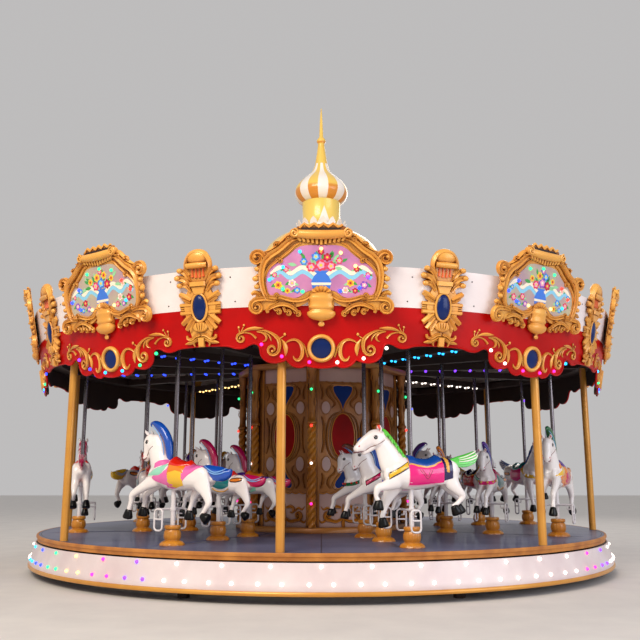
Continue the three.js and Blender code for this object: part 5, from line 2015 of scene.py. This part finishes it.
# %% Short blanket
def short_set(shape, skin, main, seat, trim, strap):
    over_back(shape, skin, 0.040, -0.240, [118, 132, 132, 118], 0.010, main)
    fringe = [(36, 640), (-30, 606), (-100, 598), (-170, 606), (-236, 640)]
    drawn(shape, skin, fringe, [0.007, 0.007], trim, 0.008)
    over_back(shape, skin, 0.030, -0.260, [46, 60, 62, 44], saddle_height(0.022, 0.055, 0.040), seat)
    side_patch(shape, skin, [(-252, 738, 752), (-268, 722, 774), (-360, 718, 784), (-430, 734, 782),
                             (-446, 748, 768)], 0.006, enamel["black"])
    side_patch(shape, skin, [(-262, 741, 753), (-274, 732, 766), (-360, 728, 774), (-424, 743, 773),
                             (-436, 752, 766)], 0.009, enamel["orange"])
    round_chest(shape, skin, [(0, 0.700), (40, 0.712), (75, 0.745), (105, 0.800), (125, 0.836)], 0.050, 0.010,
                strap)
    for turn in (-60, -36, -12, 12, 36, 60):
        away = np.array((math.cos(math.radians(turn)), math.sin(math.radians(turn)), 0))
        begin = np.array((CHEST, 0, 0.710 + 0.0004 * abs(turn))) + away * 0.5
        hit = skin.ray_cast(Vector(begin), Vector(-away))[0]
        if hit:
            ball(shape, np.array(hit) + away * 0.012, (0.017, 0.017, 0.017), trim)


# %% [markdown]
# A pole runs through each horse, white below and bare steel above. A bar through the pole carries a foot
# rest on each side: a closed loop of tube with a rung and a stub that braces it.

# %% Pole and foot rests
SETS_OF_TACK = {1: square_set, 2: long_set, 3: short_set}
REINS = {"stretched": [(500, 968), (452, 1002), (400, 1020), (340, 1050), (300, 1076)],
         "tucked": [(356, 930), (330, 968), (296, 1000), (250, 1030)]}
REST_BAR = 0.372
REST_AHEAD = 0.034
LOOP_OUT = 0.195


def fittings(shape):
    """The pole and the two foot rests, in metres above the deck."""
    turned(shape, [(0, 0.060), (0.025, 0.060), (0.025, 0.600), (0, 0.600)], 24, white_tube)
    turned(shape, [(0, 0.6005), (0.0245, 0.6005), (0.0245, 2.479), (0, 2.480)], 24, chrome)
    turned(shape, [(0, REST_BAR - 0.020), (0.031, REST_BAR - 0.020), (0.033, REST_BAR),
                   (0.031, REST_BAR + 0.020), (0, REST_BAR + 0.020)], 20, white_tube)
    bar = [(REST_AHEAD, y, REST_BAR) for y in (-LOOP_OUT, -0.1, 0, 0.1, LOOP_OUT)]
    swept(shape, bar, circle(8), [0.0115, 0.0115], white_tube, up=(0, 0, 1))
    corner_arc = [(math.cos(math.radians(a)), math.sin(math.radians(a))) for a in (0, 30, 60, 90)]
    for side in (-1, 1):
        loop = []
        for sx, sz, quarter in ((1, 1, 0), (-1, 1, 1), (-1, -1, 2), (1, -1, 3)):
            turn = math.pi / 2 * quarter
            for c, s in corner_arc:
                dx = c * math.cos(turn) - s * math.sin(turn)
                dz = c * math.sin(turn) + s * math.cos(turn)
                loop.append((REST_AHEAD + sx * 0.016 + dx * 0.036, side * LOOP_OUT,
                             REST_BAR - 0.106 + sz * 0.072 + dz * 0.036))
        swept(shape, loop, circle(8), [0.0105, 0.0105], white_tube, up=(0, 1, 0), closed=True)
        rung = [(REST_AHEAD + x, side * LOOP_OUT, REST_BAR - 0.100) for x in (-0.052, 0.052)]
        swept(shape, rung, circle(8), [0.009, 0.009], white_tube, up=(0, 1, 0))
        stub = [(REST_AHEAD, side * 0.120, REST_BAR), (REST_AHEAD, side * 0.124, REST_BAR - 0.050),
                (REST_AHEAD, side * LOOP_OUT, REST_BAR - 0.056)]
        swept(shape, stub, circle(6), [0.008, 0.008], white_tube, up=(1, 0, 0))
    return shape


# %% [markdown]
# The colours follow the photo where a horse can be seen and carry on in the same taste where it can't. A
# horse's entry gives its set of tack, mane and tail, then blanket, saddle, trim and strap.

# %% Colours of the herd
RING_SIZE = {"outer": (1.0, 0.0), "middle": (0.85, 0.030), "inner": (0.8, 0.050)}
HERD = {
    "outer_1": (1, "green", "lime", ("magenta", "azure", "gold", "yellow")),
    "middle_1": (1, "blue", "blue", ("blue", "purple", "gold", "cerise")),
    "inner_1": (3, "brown", "brown", ("mint", "red", "red", "forest")),
    "outer_8": (2, "blue", "blue", ("pink", "red", "mint", "yellow")),
    "middle_8": (3, "cerise", "cerise", ("teal", "red", "gold", "pink")),
    "inner_8": (2, "cerise", "cerise", ("purple", "orange", "yellow", "mint")),
    "outer_7": (3, "cerise", "cerise", ("yellow", "red", "red", "green")),
    "middle_7": (1, "red", "red", ("teal", "orange", "gold", "pink")),
    "inner_7": (2, "purple", "purple", ("mint", "blue", "pink", "yellow")),
    "outer_2": (2, "forest", "forest", ("orange", "purple", "yellow", "cerise")),
    "middle_2": (3, "purple", "purple", ("teal", "cerise", "gold", "magenta")),
    "inner_2": (1, "orange", "orange", ("blue", "red", "yellow", "lime")),
}
# Row 1 has tucked heads on its two inner rings
TUCKED_TOO = ("middle_1", "inner_1")
MANES = ["orange", "purple", "teal", "magenta", "green", "red", "blue", "yellow"]
TONES = [("red", "navy", "gold", "mint"), ("teal", "orange", "yellow", "pink"),
         ("purple", "yellow", "mint", "cerise"), ("blue", "red", "gold", "orange"),
         ("magenta", "teal", "white", "yellow")]


def livery(ring, row):
    """The entry of a horse, or one made up from its ring and row."""
    pick = row * 3 + len(ring)
    hair_tone = MANES[pick % 8]
    return HERD.get(f"{ring}_{row}", (1 + pick % 3, hair_tone, hair_tone, TONES[pick % 5]))


print(len(HERD), "horses from the photo")

# %% [markdown]
# Each horse is put together from its skin, face, hair, tack and fittings, sized for its ring, and stood on
# its pole with its head to the left of one who looks at it from outside.

# %% Herd
ready = {}
for kind, rings in skins.items():
    fine_points, fine_faces = rings["outer"]
    skin_tree = BVHTree.FromPolygons([tuple(point) for point in fine_points], fine_faces)
    head = Shape()
    face(head, kind, skin_tree)
    hooves(head, kind)
    ready[kind] = (skin_tree, head)
for ring, radius in POLE_RINGS.items():
    size, raised = RING_SIZE[ring]
    for row in range(1, 9):
        kind = "stretched" if row % 2 and f"{ring}_{row}" not in TUCKED_TOO else "tucked"
        style, mane, tail, tones = livery(ring, row)
        skin_tree, head = ready[kind]
        horse = Shape()
        horse.add(*skins[kind][ring], horse_white)
        horse.join(head)
        dressed_hair = streaming_hair if kind == "stretched" else rolled_hair
        dressed_hair(horse, enamel[mane], enamel[tail])
        SETS_OF_TACK[style](horse, skin_tree, *(enamel[tone] for tone in tones))
        drawn(horse, skin_tree, REINS[kind], [0.003, 0.003], enamel["brown"])
        horse.points = horse.points * size + (0, 0, raised)
        fittings(horse)
        stand = (Matrix.Rotation(math.radians(ROWS[row - 1]), 4, "Z") @ Matrix.Translation((0, -radius, DECK))
                 @ Matrix.Rotation(math.pi, 4, "Z"))
        horse.points = by_matrix(stand)(horse.points)
        name = f"{ring}_horse_{row}"
        made(name + "_carved", horse, name, [name], 50)
print(len(POLE_RINGS) * len(ROWS), "horses")

# %% [markdown]
# The floor is a plain pale studio sweep. It is staging, so it takes no part in the size and the checks.

# %% Floor
floor_mesh = bpy.data.meshes.new("floor")
floor_mesh.from_pydata([(-40, -40, 0), (40, -40, 0), (40, 40, 0), (-40, 40, 0)], [], [[0, 1, 2, 3]])
floor_mesh.materials.append(painted("pale_floor", "DAD6D2", "D2CECB", 60, 0.8, 0.05))
floor = placed("floor", floor_mesh)
print("floor at", floor_mesh.vertices[0].co.z)

# %% [markdown]
# The photo was taken in daylight with the lamps lit. A large warm softbox stands in for the sky in front, a
# cooler one fills from the right, and a weak one behind picks out the dome. The plain view transform keeps
# the strong reds, blues and golds of fairground paint, which a filmic curve would wash out, so the lights
# are set low enough to leave the white boards just short of clipping.


# %% Light
def softbox(name, place, aim, size, power, colour):
    """A rectangular area light that looks from a place at an aim."""
    lamp_data = bpy.data.lights.new(name, "AREA")
    lamp_data.shape = "RECTANGLE"
    lamp_data.size, lamp_data.size_y = size
    lamp_data.energy = power
    lamp_data.color = linear(colour)[:3]
    lamp = placed(name, lamp_data)
    lamp.location = place
    lamp.rotation_euler = (Vector(aim) - Vector(place)).to_track_quat("-Z", "Y").to_euler()


softbox("key_light", (-5.0, -12.0, 9.5), (0, 0, 2.0), (7, 5), 1250, "FFF3E2")
softbox("fill_light", (9.0, -9.0, 4.5), (0, 0, 2.0), (7, 6), 420, "EAF0FF")
softbox("back_light", (3.0, 10.0, 9.0), (0, 0, 2.5), (8, 5), 430, "FFF6EC")
world = bpy.data.worlds.new("studio")
world.use_nodes = True
world.node_tree.nodes["Background"].inputs[0].default_value = linear("F2F0F0")
world.node_tree.nodes["Background"].inputs[1].default_value = 0.58
bpy.context.scene.world = world
bpy.context.scene.view_settings.view_transform = "Standard"
print(len(bpy.data.lights), "softboxes")
